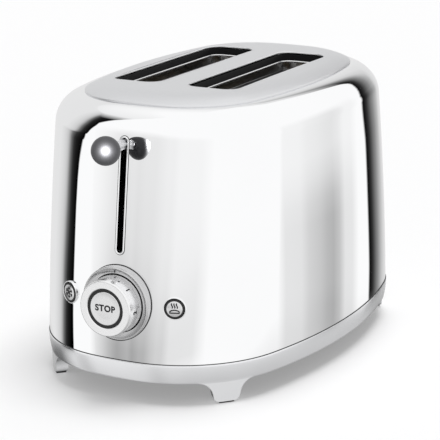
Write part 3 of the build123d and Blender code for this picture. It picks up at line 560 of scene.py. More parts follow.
def between(low, high, count):
    """Evenly spaced values from low up to but without high."""
    return [low + (high - low) * i / count for i in range(count)]


def corner_centre(section, sizes):
    """Centre of the plan's corner arc, tangent to its side arc and its end arc."""
    half_w, half_l, corner = section
    side = Vector((half_w - sizes.side_bow, 0))
    end = Vector((0, half_l - sizes.end_bow))
    span = end - side
    to_side, to_end = sizes.side_bow - corner, sizes.end_bow - corner
    along = (to_side**2 - to_end**2 + span.length_squared) / (2 * span.length)
    across = math.sqrt(to_side**2 - along**2)
    way = span.normalized()
    return side + way * along + Vector((-way.y, way.x)) * across


def plan_arcs(section, sizes, foot=0.0):
    """The plan's arcs from the middle of the front all the way round: centre, turn and steps.

    Each corner is cut in three where a foot spans an angle of foot on each side of its middle."""
    half_w, half_l, corner = section
    centre = corner_centre(section, sizes)
    side_x, end_y = half_w - sizes.side_bow, half_l - sizes.end_bow
    side_turn = math.atan2(centre.y, centre.x - side_x)
    end_turn = math.atan2(centre.x, centre.y - end_y)
    slot_turn = math.asin((sizes.lever_slot_width / 2 + 0.6 * MM) / sizes.end_bow)
    steps = sizes.columns
    parts = [(math.pi / 2 - side_turn - end_turn, steps)]
    if foot:
        near = FOOT_TURN - foot - side_turn
        far = math.pi / 2 - end_turn - FOOT_TURN - foot
        parts = [(near, steps // 2), (2 * foot, 2 * (steps // 2)), (far, steps // 2)]
    front = [((0, -end_y), slot_turn, 1), ((0, -end_y), end_turn - slot_turn, steps // 2 + 2)]
    arcs = list(front)
    for sx, sy in CORNERS:
        spot = (sx * centre.x, sy * centre.y)
        order = parts if sx * sy > 0 else parts[::-1]
        arcs += [(spot, turn, count) for turn, count in order]
        if sx * sy < 0:
            arcs.append(((sx * side_x, 0), 2 * side_turn, 2 * steps))
        elif sx > 0:
            arcs.append(((0, end_y), 2 * end_turn, steps + 6))
    return arcs + front[::-1]


def plan_row(z, section, sizes, inset=0.0, foot=0.0):
    """Points of the oval plan at height z, smaller all round by inset."""
    ring = bmesh.new()
    first = last = ring.verts.new((0, CENTRE_Y - section[1] + inset, z))
    for (x, y), turn, count in plan_arcs(section, sizes, foot):
        done = bmesh.ops.spin(
            ring, geom=[last], cent=(x, CENTRE_Y + y, z), axis=(0, 0, 1), angle=turn, steps=count
        )
        last = next(v for v in done["geom_last"] if isinstance(v, bmesh.types.BMVert))
    bmesh.ops.weld_verts(ring, targetmap={last: first})
    row = [v.co.copy() for v in ring.verts]
    ring.free()
    return row


def rounded_row(centre, half_x, half_y, corner, height):
    """Points of a rectangle with round corners, at a height or on a surface."""
    ring = bmesh.new()
    bmesh.ops.create_circle(
        ring, segments=32, radius=corner, matrix=Matrix.Rotation(math.radians(360 / 64), 4, "Z")
    )
    row = []
    for v in ring.verts:
        x = centre[0] + v.co.x + math.copysign(half_x - corner, v.co.x)
        y = centre[1] + v.co.y + math.copysign(half_y - corner, v.co.y)
        row.append(Vector((x, y, height(x, y) if callable(height) else height)))
    ring.free()
    return row


def rounded_stack(centre, half, corner, outline, height=lambda z: z):
    """A wall round a rectangle with round corners: how far out it stands, and its height."""
    return [
        rounded_row(centre, half[0] + out, half[1] + out, corner + out, height(z))
        for out, z in outline
    ]


def stack(rows, closed=False, bm=None):
    """Extrudes a loop through rows of points, and returns the shape and each row's edges."""
    bm = bm or bmesh.new()
    verts = [bm.verts.new(point) for point in rows[0]]
    loops = [[bm.edges.new(pair) for pair in zip(verts, verts[1:] + verts[:1])]]
    for row in rows[1:] + (rows[:1] if closed else []):
        place = {v: i for i, v in enumerate(verts)}
        done = bmesh.ops.extrude_edge_only(bm, edges=loops[-1])["geom"]
        fresh = {}
        for v in (g for g in done if isinstance(g, bmesh.types.BMVert)):
            below = next(e.other_vert(v) for e in v.link_edges if e.other_vert(v) in place)
            fresh[v] = place[below]
            v.co = row[place[below]]
        edges = (g for g in done if isinstance(g, bmesh.types.BMEdge))
        loops.append([e for e in edges if all(v in fresh for v in e.verts)])
        verts = sorted(fresh, key=fresh.get)
    return bm, loops


def capped(rows, bm=None):
    """A stack that is filled at both ends."""
    bm, loops = stack(rows, bm=bm)
    for last in (loops[0], loops[-1]):
        bmesh.ops.edgeloop_fill(bm, edges=last)
    return bm


def turned(profile, place, segments=96):
    """Turns an outline of (radius, height) about its axis, and stands it on place."""
    bm = bmesh.new()
    points = [bm.verts.new((radius, 0, height)) for radius, height in profile]
    edges = [bm.edges.new(pair) for pair in zip(points, points[1:])]
    bmesh.ops.spin(
        bm, geom=points + edges, cent=(0, 0, 0), axis=(0, 0, 1), angle=2 * math.pi,
        steps=segments, use_merge=True
    )
    bmesh.ops.remove_doubles(bm, verts=bm.verts, dist=1e-6)
    bmesh.ops.transform(bm, verts=bm.verts, matrix=place)
    return bm


def facing(spot, out):
    """Matrix whose own Z looks along out from spot, with its Y upwards."""
    z = Vector(out).normalized()
    x = Vector((0, 0, 1)).cross(z).normalized()
    turn = Matrix((x, z.cross(x), z)).transposed().to_4x4()
    return Matrix.Translation(spot) @ turn


def front_place(y, z):
    """Plane that looks forwards at y in front of the body's centre."""
    return facing((0, CENTRE_Y - y, z), (0, -1, 0))


def button_place(way, proud, sizes):
    """Plane square to the skin's front corner at a round button."""
    section = wall_section(sizes.knob_height, sizes)
    centre = corner_centre(section, sizes)
    turn = math.asin((sizes.button_offset - centre.x) / section[2])
    out = Vector((way * math.sin(turn), -math.cos(turn), 0))
    spot = Vector((way * centre.x, CENTRE_Y - centre.y, sizes.knob_height))
    return facing(spot + out * (section[2] + proud), out)


def wall_section(z, sizes):
    """Half width, half length and corner of the skin below its shoulder."""
    share = (z - RING_TOP) / (sizes.shoulder - RING_TOP)
    half_w, half_l = (half - sizes.ring_step for half in RING_HALF)
    return (
        half_w - sizes.side_lean * share ** WALL_POWER["side"],
        half_l - sizes.end_lean * share ** WALL_POWER["end"],
        sizes.ring_corner - sizes.ring_step - sizes.corner_lean * share
    )


def shoulder_section(turn, sizes):
    """The same on the shoulder, where it has leaned in by turn degrees, with its height first."""
    half_w, half_l, corner = wall_section(sizes.shoulder, sizes)
    lift, draw = math.sin(math.radians(turn)), 1 - math.cos(math.radians(turn))
    rise = sizes.shoulder_rise * lift
    wall = sizes.shoulder - RING_TOP
    half_w -= WALL_POWER["side"] * sizes.side_lean / wall * rise + sizes.shoulder_side * draw
    half_l -= WALL_POWER["end"] * sizes.end_lean / wall * rise + sizes.shoulder_end * draw
    return sizes.shoulder + rise, (half_w, half_l, corner - sizes.shoulder_corner * draw)


def skin_section(z, sizes):
    """The skin's section at any height."""
    if z <= sizes.shoulder:
        return wall_section(z, sizes)
    turn = math.degrees(math.asin(min(1, (z - sizes.shoulder) / sizes.shoulder_rise)))
    return shoulder_section(turn, sizes)[1]


def front_face(x, z, sizes):
    """Where the skin's front face stands in Y at x and z."""
    half_l = skin_section(z, sizes)[1]
    return CENTRE_Y - (half_l - sizes.end_bow + math.sqrt(sizes.end_bow**2 - x**2))


def face_row(spots, proud, sizes):
    """Points that stand proud of the skin's front face."""
    return [Vector((x, front_face(x, z, sizes) - proud, z)) for x, z in spots]


def outwards(bm):
    """Turns the faces to look away from the inside."""
    bmesh.ops.remove_doubles(bm, verts=bm.verts, dist=1e-6)
    bmesh.ops.recalc_face_normals(bm, faces=bm.faces)
    outer = max(bm.faces, key=lambda f: f.calc_center_median().x)
    if outer.normal.x < 0:
        bmesh.ops.reverse_faces(bm, faces=bm.faces)


def linked(name, bm):
    """Puts a shape in the scene as an object."""
    mesh = bpy.data.meshes.new(name)
    bm.to_mesh(mesh)
    bm.free()
    made = bpy.data.objects.new(name, mesh)
    bpy.context.scene.collection.objects.link(made)
    return made


def evaluated(made):
    """The mesh that an object shows, with its modifiers or its curve worked out."""
    bpy.context.view_layer.update()
    return bpy.data.meshes.new_from_object(
        made.evaluated_get(bpy.context.evaluated_depsgraph_get())
    )


def piece(
    name, bm, body, finish, replaces=(), modifiers=(), crease=35, turn_out=True,
    weights=None, cut=None
):
    """Finishes a shape, less the space of cut, as a piece that rides on a body."""
    if turn_out:
        outwards(bm)
    made = linked(name, bm)
    if weights:
        group_name, weight_at = weights
        group = made.vertex_groups.new(name=group_name)
        for v in made.data.vertices:
            group.add([v.index], weight_at(v), "REPLACE")
    modifiers = list(modifiers)
    if cut:
        bmesh.ops.recalc_face_normals(cut, faces=cut.faces)
        tool = linked("cutter", cut)
        settings = {"operation": "DIFFERENCE", "solver": "EXACT", "object": tool}
        modifiers.append(("BOOLEAN", settings))
    for kind, settings in modifiers:
        modifier = made.modifiers.new(kind.title(), kind)
        for key, value in settings.items():
            setattr(modifier, key, value)
    if modifiers:
        finished = evaluated(made)
        made.modifiers.clear()
        made.data = finished
    if cut:
        bpy.data.objects.remove(tool)
    made.data.materials.clear()
    made.data.materials.append(bpy.data.materials[finish])
    made.data.shade_smooth()
    made.data.set_sharp_from_angle(angle=math.radians(crease))
    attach(made, body)
    if replaces:
        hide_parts(*replaces)


def seal(name, rows, crease=60):
    """A narrow black strip of painted shade, standing for the shadow in the gap where two pieces
    of the housing meet.
    """
    bm = stack(rows, closed=True)[0]
    piece(name, bm, "housing", "black_plastic", crease=crease)


# Printed marks


def curve_piece(curve, name, place, body):
    """Makes a curve or text a thin raised mark at its place."""
    holder = bpy.data.objects.new(name, curve)
    bpy.context.scene.collection.objects.link(holder)
    mesh = evaluated(holder)
    bpy.data.objects.remove(holder)
    bm = bmesh.new()
    bm.from_mesh(mesh)
    bmesh.ops.remove_doubles(bm, verts=bm.verts, dist=1e-7)
    high = max(abs(v.co.z) for v in bm.verts) or 1
    for v in bm.verts:
        v.co.z *= MARK_DEPTH / high
    bmesh.ops.transform(bm, verts=bm.verts, matrix=place)
    piece(name, bm, body, "printed_ink", turn_out=False)


def line_marks(name, lines, width, place, body):
    """Printed lines of one width, each a list of flat points."""
    curve = bpy.data.curves.new(name, "CURVE")
    curve.dimensions = "3D"
    curve.bevel_depth = width / 2
    curve.bevel_resolution = 1
    curve.use_fill_caps = True
    for points in lines:
        spline = curve.splines.new("POLY")
        spline.points.add(len(points) - 1)
        for point, (x, y) in zip(spline.points, points):
            point.co = (x, y, 0, 1)
    curve_piece(curve, name, place, body)


def text_mark(name, words, size, place, body):
    """Printed word or number."""
    curve = bpy.data.curves.new(name, "FONT")
    curve.body = words
    curve.size = size
    curve.align_x = curve.align_y = "CENTER"
    curve.extrude = MARK_DEPTH
    curve.offset = 0.04 * size
    curve.space_character = 1.10
    curve_piece(curve, name, place, body)


# Operators


class BuildOperator(Operator):
    """Shared settings of the toaster's operators"""

    bl_options = {"REGISTER", "UNDO"}

    @property
    def sizes(self):
        return bpy.context.scene.toaster_sizes

    @property
    def colours(self):
        return bpy.context.scene.toaster_colours


class TOASTER_OT_finishes(BuildOperator):
    """Mix every finish and give the frame's own nodes theirs"""

    bl_idname = "toaster.finishes"
    bl_label = "Finishes"

    def execute(self, context):
        tints = {n: tuple(getattr(self.colours, n)) for n in ToasterColours.__annotations__}
        mirror_chrome(tints["chrome"])
        soft_chrome(tints["ring"])
        satin_steel(tints["satin"])
        zinc_sheet(tints["sheet"])
        bright_sheet(shade(tints["chrome"], 0.85))
        heat_wire(shade(tints["satin"], 0.8))
        black_plastic(tints["black"])
        black_enamel(tints["black"])
        foot_rubber(tints["rubber"])
        mica_board(tints["mica"])
        circuit_board()
        pale_plastic()
        wound_iron()
        printed_ink(tints["ink"])
        ball_steel(tints["ball"])
        knob_spot = (0, CENTRE_Y, self.sizes.knob_height)
        # Painted shade: the stop button's and the dial surround's steel are darker copies of the
        # knob's turned steel.
        for name, share in (("spun_steel", 1), ("spun_stop", 0.9), ("spun_dish", 0.7)):
            spun_steel(shade(tints["spun"], share), name, knob_spot, (0, 1, 0))
        by_slot = {
            "steel_sheet": "zinc_sheet",
            "reflector_sheet": "bright_sheet",
            "black_rubber": "foot_rubber",
            "magnet_iron": "wound_iron",
        }
        own = {
            "bread_guide": "heat_wire",
            "bread_rack": "heat_wire",
            "slot_collar": "black_enamel",
            "lever_arm": "satin_steel",
        }
        for part in frame["record"]["subparts"]:
            name, slot = part["node"], part["material_slot"]
            wanted = next((own[k] for k in own if name.startswith(k)), by_slot.get(slot, slot))
            mesh = frame["nodes"][name].data
            mesh.materials.clear()
            mesh.materials.append(bpy.data.materials[wanted])
        return {"FINISHED"}


class TOASTER_OT_body_skin(BuildOperator):
    """Draw the chrome skin from its ring up over the shoulder"""

    bl_idname = "toaster.body_skin"
    bl_label = "Body Skin"

    def execute(self, context):
        sizes = self.sizes
        hem, dial_hole, hole_depth = 8 * MM, 22 * MM, 24 * MM
        dial_front, button_sink = 138 * MM, 4 * MM
        button_hole = sizes.button_radius + 0.8 * MM
        slot_low = SLOT_LOW + 0.7 * MM
        slot_top = shoulder_section(SLOT_END_TURN, sizes)[0]
        walls = between(RING_TOP, slot_low, 18) + between(slot_low, sizes.shoulder, 18)
        turns = [0, *between(SLOT_END_TURN, SHOULDER_TURN, 22), SHOULDER_TURN]
        levels = [(z, wall_section(z, sizes)) for z in walls]
        levels += [shoulder_section(turn, sizes) for turn in turns]
        rows = [plan_row(z, section, sizes) for z, section in levels]
        top, section = levels[-1]
        rows.append(plan_row(top, section, sizes, inset=hem))
        bm = stack(rows)[0]
        half = sizes.lever_slot_width / 2 + 0.5 * MM
        doomed = []
        for face in bm.faces:
            spot = face.calc_center_median()
            if abs(spot.x) < half and spot.y < CENTRE_Y and slot_low < spot.z < slot_top:
                doomed.append(face)
        bmesh.ops.delete(bm, geom=doomed, context="FACES")
        tools = bmesh.new()
        for place, radius in (
            (front_place(dial_front, sizes.knob_height), dial_hole),
            (button_place(-1, -button_sink, sizes), button_hole),
            (button_place(1, -button_sink, sizes), button_hole),
        ):
            bmesh.ops.create_cone(
                tools, cap_ends=True, segments=64, radius1=radius, radius2=radius,
                depth=hole_depth, matrix=place
            )
        solid = ("SOLIDIFY", {"thickness": SHEET, "offset": -1, "use_even_offset": True})
        piece(
            "body_skin", bm, "housing", "mirror_chrome", ["body_shell"],
            [solid], cut=tools
        )
        return {"FINISHED"}


class TOASTER_OT_base_band(BuildOperator):
    """Draw the base ring and its four flared feet"""

    bl_idname = "toaster.base_band"
    bl_label = "Base Band"

    def execute(self, context):
        sizes = self.sizes
        section = (*RING_HALF, sizes.ring_corner)
        bead, lift, inset = 0.32 * MM, 0.1 * MM, sizes.ring_step * 0.75
        rows = [
            plan_row(RING_TOP + lift + up, section, sizes, inset + out)
            for out, up in arc((0, 0), bead, 0, 360, 8)[:-1]
        ]
        # Painted shade: a black strip along the ring's top edge stands for the shadow in the gap
        # under the skin.
        seal("band_seal", rows, crease=80)

        reach = section[2] - self.inset(sizes.ring_foot)
        foot = math.asin(self.half_width(sizes.ring_foot) / reach)
        levels = between(sizes.ring_foot, RING_TOP, 9) + [RING_TOP]
        bm, loops = stack([plan_row(z, section, sizes, self.inset(z), foot) for z in levels])
        centre = corner_centre(section, sizes)
        for sx, sy in CORNERS:
            spot = Vector((sx * centre.x, CENTRE_Y + sy * centre.y))
            self.foot(bm, loops[0], foot, spot, sx, sy)
            self.rubber(spot, sx, sy)
        low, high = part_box("tray_pull")
        grow, depth = 0.35 * MM, 20 * MM
        size = (high.x - low.x + 2 * grow, depth, high.z - low.z + 2 * grow, 1)
        middle = Matrix.Translation((0, high.y, (low.z + high.z) / 2))
        gate = bmesh.new()
        bmesh.ops.create_cube(gate, size=1, matrix=middle @ Matrix.Diagonal(size))
        solid = {
            "thickness": sizes.foot_depth, "offset": -1, "vertex_group": "foot",
            "thickness_vertex_group": sizes.ring_wall / sizes.foot_depth,
        }
        bevel = {
            "width": 0.5 * MM, "segments": 3, "limit_method": "ANGLE",
            "angle_limit": math.radians(50),
        }
        foot_top = sizes.ring_foot - 0.1 * MM
        piece(
            "base_band", bm, "housing", "soft_chrome", ["base_ring"],
            [("SOLIDIFY", solid), ("BEVEL", bevel)], crease=50,
            weights=("foot", lambda v: 1.0 if v.co.z < foot_top else 0.0), cut=gate
        )
        return {"FINISHED"}

    def inset(self, z):
        """How far the band and its feet draw in at height z."""
        sizes = self.sizes
        if z < sizes.ring_foot:
            share = (sizes.ring_foot - z) / (sizes.ring_foot - sizes.sole)
            return sizes.ring_tuck + (sizes.foot_tuck - sizes.ring_tuck) * share
        return sizes.ring_tuck * ((RING_TOP - z) / (RING_TOP - sizes.ring_foot)) ** TUCK_POWER

    def half_width(self, z):
        """Half the width of a foot at height z."""
        sizes = self.sizes
        root = sizes.ring_foot - sizes.foot_root
        half = sizes.foot_width / 2 + sizes.foot_flare * z / sizes.ring_foot
        if z > root:
            half += sizes.foot_root - math.sqrt(max(0, sizes.foot_root**2 - (z - root) ** 2))
        short = sizes.foot_round - (z - sizes.sole)
        if short > 0:
            half -= sizes.foot_round - math.sqrt(max(0, sizes.foot_round**2 - short**2))
        return half

    def foot(self, bm, loop, foot, spot, sx, sy):
        """Draws one foot down from the band's lower edge."""
        sizes = self.sizes
        root, toe = sizes.foot_root, sizes.foot_round
        levels = [
            sizes.ring_foot - root * (1 - math.cos(math.radians(t))) for t in range(15, 91, 15)
        ]
        levels += between(levels[-1], sizes.sole + toe, 3)[1:]
        levels += [sizes.sole + toe * (1 - math.sin(math.radians(t))) for t in range(0, 91, 18)]

        def share_of(v):
            turn = math.atan2(sy * (v.co.y - spot.y), sx * (v.co.x - spot.x))
            return (turn - FOOT_TURN) / foot

        def in_foot(v):
            return abs(share_of(v)) < 1.0001 and sx * (v.co.x - spot.x) > 0

        edge = [e for e in loop if all(in_foot(v) for v in e.verts)]
        shares = {v: share_of(v) for e in edge for v in e.verts}
        for z in levels:
            done = bmesh.ops.extrude_edge_only(bm, edges=edge)
            edge = [g for g in done["geom"] if isinstance(g, bmesh.types.BMEdge)]
            radius = sizes.ring_corner - self.inset(z)
            turn = math.asin(self.half_width(z) / radius)
            moved = {}
            for v in {v for e in edge for v in e.verts}:
                twin = next(e.other_vert(v) for e in v.link_edges if e.other_vert(v) in shares)
                moved[v] = shares[twin]
                angle = FOOT_TURN + shares[twin] * turn
                x, y = sx * radius * math.cos(angle), sy * radius * math.sin(angle)
                v.co = (spot.x + x, spot.y + y, z)
            shares = moved
            edge = [e for e in edge if all(v in moved for v in e.verts)]

    def rubber(self, spot, sx, sy):
        """Puts the rubber under one foot."""
        sizes = self.sizes
        edge = 0.8 * MM
        outer = sizes.ring_corner - sizes.foot_tuck - edge
        inner = sizes.ring_corner - sizes.foot_tuck - sizes.foot_depth + edge
        turn = math.degrees((sizes.foot_width / 2 - sizes.foot_round) / outer)
        middle = math.degrees(FOOT_TURN)
        flat = arc((0, 0), outer, middle - turn, middle + turn, 12)
        flat += arc((0, 0), inner, middle + turn, middle - turn, 12)
        centre = Vector(arc((0, 0), (outer + inner) / 2, middle, middle, 1)[0])
        rows = []
        for z, share in ((sizes.sole + 0.3 * MM, 1), (0.4 * MM, 1), (0.1 * MM, 0.97), (0, 0.93)):
            drawn = (centre + (Vector(point) - centre) * share for point in flat)
            rows.append([Vector((spot.x + sx * x, spot.y + sy * y, z)) for x, y in drawn])
        place = ("rear" if sy > 0 else "front") + ("_right" if sx > 0 else "_left")
        piece(
            "sole_" + place, capped(rows), "housing", "foot_rubber",
            ["foot_pad_" + place]
        )


class TOASTER_OT_top_cover(BuildOperator):
    """Press the crowned top cover with its two slots"""

    bl_idname = "toaster.top_cover"
    bl_label = "Top Cover"

    def execute(self, context):
        sizes = self.sizes
        section = (*half_of(PLATE_LOW, PLATE_HIGH), sizes.plate_corner)
        edge, flange, roll, fullness, past = 1.2 * MM, 0.9 * MM, 26 * MM, 2.6, 20 * MM
        rim = PLATE_LOW.z + edge
        crown = PLATE_HIGH.z - PLATE_LOW.z - edge

        def rise(inset):
            """How far the crown has risen that far in from the rim."""
            return crown * (1 - (1 - min(1, inset / roll)) ** fullness)

        steps = (2, 3.5, 5, 7, 9.5, 12, 15, 18, 22, 26, 32, 40)  # millimetres from the rim
        outline = [(rim + rise(step * MM) - edge, step * MM) for step in reversed(steps)]
        outline += [(PLATE_LOW.z, 1.2 * MM), (PLATE_LOW.z, 0.2 * MM), (PLATE_LOW.z + 0.2 * MM, 0)]
        outline += [(rim - 0.35 * MM, 0), (rim - 0.1 * MM, 0.1 * MM)]
        outline += [(rim + rise(step * MM), step * MM) for step in (0.4, 1, *steps)]
        bm = capped([plan_row(z, section, sizes, inset) for z, inset in outline])
        tree = BVHTree.FromBMesh(bm)
        half = (sizes.slot_width / 2, sizes.slot_length / 2)
        spots = [(way * sizes.slot_centre, CENTRE_Y) for way, side in SIDES]
        tools = bmesh.new()
        for spot in spots:
            levels = (PLATE_LOW.z - past, PLATE_HIGH.z + past)
            wide, long = half[0] + flange, half[1] + flange
            capped([rounded_row(spot, wide, long, sizes.slot_corner, z) for z in levels], tools)
        piece(
            "top_cover", bm, "housing", "satin_steel", ["top_plate"], crease=40,
            cut=tools
        )

        def on_cover(drop):
            """Height that far over the cover, at any place."""

            def height(x, y):
                spot = tree.ray_cast(Vector((x, y, 1)), Vector((0, 0, -1)))[0]
                return spot.z + drop + 0.03 * MM

            return height

        fold = [(1.6 * MM, -0.01 * MM)]
        fold += [(flange + x, z) for x, z in arc((0, -flange), flange, 90, 180, 6)]
        fold += [(0, -1.3 * MM), (0.35 * MM, -1.3 * MM)]
        for spot, (way, side) in zip(spots, SIDES):
            lip = stack(rounded_stack(spot, half, sizes.slot_corner, fold, on_cover))[0]
            piece("slot_lip_" + side, lip, "housing", "satin_steel", crease=60)
        return {"FINISHED"}


class TOASTER_OT_wells(BuildOperator):
    """Line each slot in black and roll the chassis edge under it"""

    bl_idname = "toaster.wells"
    bl_label = "Wells"

    def execute(self, context):
        sizes = self.sizes
        bevel, bead, drop = 0.3 * MM, 0.75 * MM, 0.7 * MM
        inner, middle, outer = 0.3 * MM, 0.7 * MM, 1.1 * MM
        for way, side in SIDES:
            spot = (way * sizes.slot_centre, CENTRE_Y)
            low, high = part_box("slot_collar_" + side)
            half = (high - low) / 2
            outline = [(0, low.z), (0, high.z - bevel), (-bevel, high.z)]
            outline += [(-SHEET + bevel, high.z), (-SHEET, high.z - bevel), (-SHEET, low.z)]
            rows = rounded_stack(spot, half, sizes.slot_corner + 0.6 * MM, outline)
            piece(
                "slot_lining_" + side, stack(rows, closed=True)[0], "housing",
                "black_enamel", ["slot_collar_" + side], crease=50
            )
            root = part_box("chassis_top")[1].z
            top = high.z - sizes.well_drop
            outline = [(inner, root), (inner, top - drop)]
            outline += arc((middle, top), bead, 230, -50, 10)
            outline += [(outer, top - drop), (outer, root)]
            edge = stack(rounded_stack(spot, WELL_HALF, WELL_CORNER, outline), closed=True)[0]
            piece("well_edge_" + side, edge, "housing", "bright_sheet", crease=70)
        return {"FINISHED"}


class TOASTER_OT_lever(BuildOperator):
    """Make the lever's ball and neck, and the chrome rim of its slot"""

    bl_idname = "toaster.lever"
    bl_label = "Lever"

    def execute(self, context):
        sizes = self.sizes
        low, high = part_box("lever_ball")
        radius = (high.x - low.x) / 2
        spot = Vector(((low.x + high.x) / 2, low.y + radius, (low.z + high.z) / 2))
        neck, clearance = 2.3 * MM, 1.1 * MM
        back = math.degrees(math.asin(neck * 1.35 / radius)) - 90
        root = spot.y - front_face(0, spot.z - LEVER_TRAVEL, sizes) + clearance
        outline = [(0, root), (neck, root), (neck, -radius - 0.4 * MM)]
        outline += arc((0, 0), radius, back, 90, 40)
        piece(
            "lever_grip", turned(outline, facing(spot, (0, -1, 0))), "lever",
            "ball_steel", ["lever_ball"], crease=30
        )
        half = sizes.lever_slot_width / 2
        rim = 1.3 * MM
        ends = [SLOT_HIGH - rim - half] * 21 + [SLOT_LOW + rim + half] * 21

        def slot_rows(section):
            """Rows round the lever's slot: how far out each stands, and how proud."""
            rows = []
            for out, proud in section:
                turns = [p for t in (0, 180) for p in arc((0, 0), half + out, t, t + 180, 20)]
                spots = [(x, end + rise) for (x, rise), end in zip(turns, ends)]
                rows.append(face_row(spots, proud, sizes))
            return rows

        thin = [(rim, -0.3 * MM), (rim + 0.3 * MM, 0.12 * MM), (rim + 0.05 * MM, 0.35 * MM)]
        section = [(rim, -0.1 * MM)]
        section += [(rim / 2 + x, y) for x, y in arc((0, 0.1 * MM), rim / 2, 0, 180, 8)]
        section += [(0, -2.4 * MM), (rim, -2.4 * MM)]
        # Painted shade: a black strip round the lever's rim stands for the shadow in the gap
        # against the skin.
        seal("lever_seal", slot_rows(thin))
        piece(
            "lever_rim", stack(slot_rows(section), closed=True)[0], "housing",
            "mirror_chrome", ["lever_bezel"], crease=60
        )
        return {"FINISHED"}


class TOASTER_OT_dial(BuildOperator):
    """Turn the browning knob, its surround, its marks and the stop button"""

    bl_idname = "toaster.dial"
    bl_label = "Dial"

    def execute(self, context):
        sizes = self.sizes
        height = sizes.knob_height
        axis = front_place(0, height)
        low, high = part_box("knob_bezel")
        back, face = CENTRE_Y - high.y, CENTRE_Y - low.y
        rim, bore, lip, deep = 24.8 * MM, 20 * MM, 1.0 * MM, 2.15 * MM
        dish = rim - lip - bore - 0.4 * MM
        outline = [(bore, back), (bore, face - 2.3 * MM), (bore + 0.25 * MM, face - deep)]
        outline += [
            (bore + 0.4 * MM + dish * s, face - deep + deep * (0.35 * s + 0.65 * s**2.2))
            for s in (i / 9 for i in range(10))
        ]
        outline += arc((rim - lip, face - lip), lip, 80, 0, 8)
        outline += [(rim, back + 2 * MM), (rim, back)]
        piece(
            "dial_surround", turned(outline, axis, 128), "housing",
            "spun_dish", ["knob_bezel"], crease=40
        )
        turns = arc((0, height), 1, 0, 360, 96)[:-1]
        rows = []
        for out, proud in ((0, -0.5), (0.4, -0.5), (0.4, 0.3), (0, 0.4)):
            wide = rim + out * MM
            spots = [(x * wide, height + (z - height) * wide) for x, z in turns]
            rows.append(face_row(spots, proud * MM, sizes))
        # Painted shade: a black strip round the dial's surround stands for the shadow in the gap
        # against the skin.
        seal("dial_seal", rows)

        front = CENTRE_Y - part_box("browning_knob")[0].y
        radius, ring, edge = sizes.knob_radius, 13.35 * MM, 1.2 * MM
        depth, sleeve = 15.3 * MM, 6 * MM
        back = front - depth
        outline = [(ring, back - sleeve), (ring, front - 0.4 * MM), (ring + 0.4 * MM, front)]
        outline += [(radius - edge - 0.4 * MM, front)]
        outline += arc((radius - edge, front - edge), edge, 90, 2, 8)
        outline += [(radius + 0.4 * MM, back + 0.4 * MM), (radius, back), (ring + 2 * MM, back)]
        piece(
            "dial_knob", turned(outline, axis, 128), "knob", "spun_steel",
            ["browning_knob"], crease=40
        )

        front = CENTRE_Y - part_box("stop_button")[0].y
        radius, stem, edge = sizes.stop_radius, 4 * MM, 0.6 * MM
        depth, reach = 3.4 * MM, 30 * MM
        outline = [(stem, front - reach), (stem, front - depth), (radius, front - depth)]
        outline += [(radius, front - edge)]
        outline += arc((radius - edge, front - edge), edge, 0, 90, 5)
        outline += [
            (radius * share, front - hollow * MM)
            for share, hollow in ((0.6, 0.12), (0.3, 0.2), (0, 0.22))
        ]
        piece(
            "stop_disc", turned(outline, axis, 96), "stop", "spun_stop",
            ["stop_button"], crease=40
        )
        text_mark("stop_word", "STOP", 5.9 * MM, front_place(front - 0.14 * MM, height), "stop")

        dot_turn, first_turn, turn_step, ahead = 22, 47, 48, 153.8 * MM
        side = Matrix.Translation((0, sizes.knob_radius + 0.2 * MM, ahead))
        upright = Matrix.Rotation(math.radians(-90), 4, "X")
        flip = Matrix.Rotation(math.pi, 4, "Z")
        for number in range(7):
            turn = first_turn + turn_step * (number - 1) if number else dot_turn
            place = axis @ Matrix.Rotation(math.radians(-turn), 4, "Z") @ side @ upright
            if number:
                text_mark(f"dial_{number}", str(number), 4.9 * MM, place @ flip, "knob")
            else:
                line_marks("dial_dot", [[(-0.5 * MM, 0), (0.5 * MM, 0)]], 1.8 * MM, place, "knob")
        line = [(0, 20.9 * MM), (0, 23.2 * MM)]
        place = front_place(face - 1.0 * MM, height)
        line_marks("dial_pointer", [line], 0.9 * MM, place, "housing")
        return {"FINISHED"}


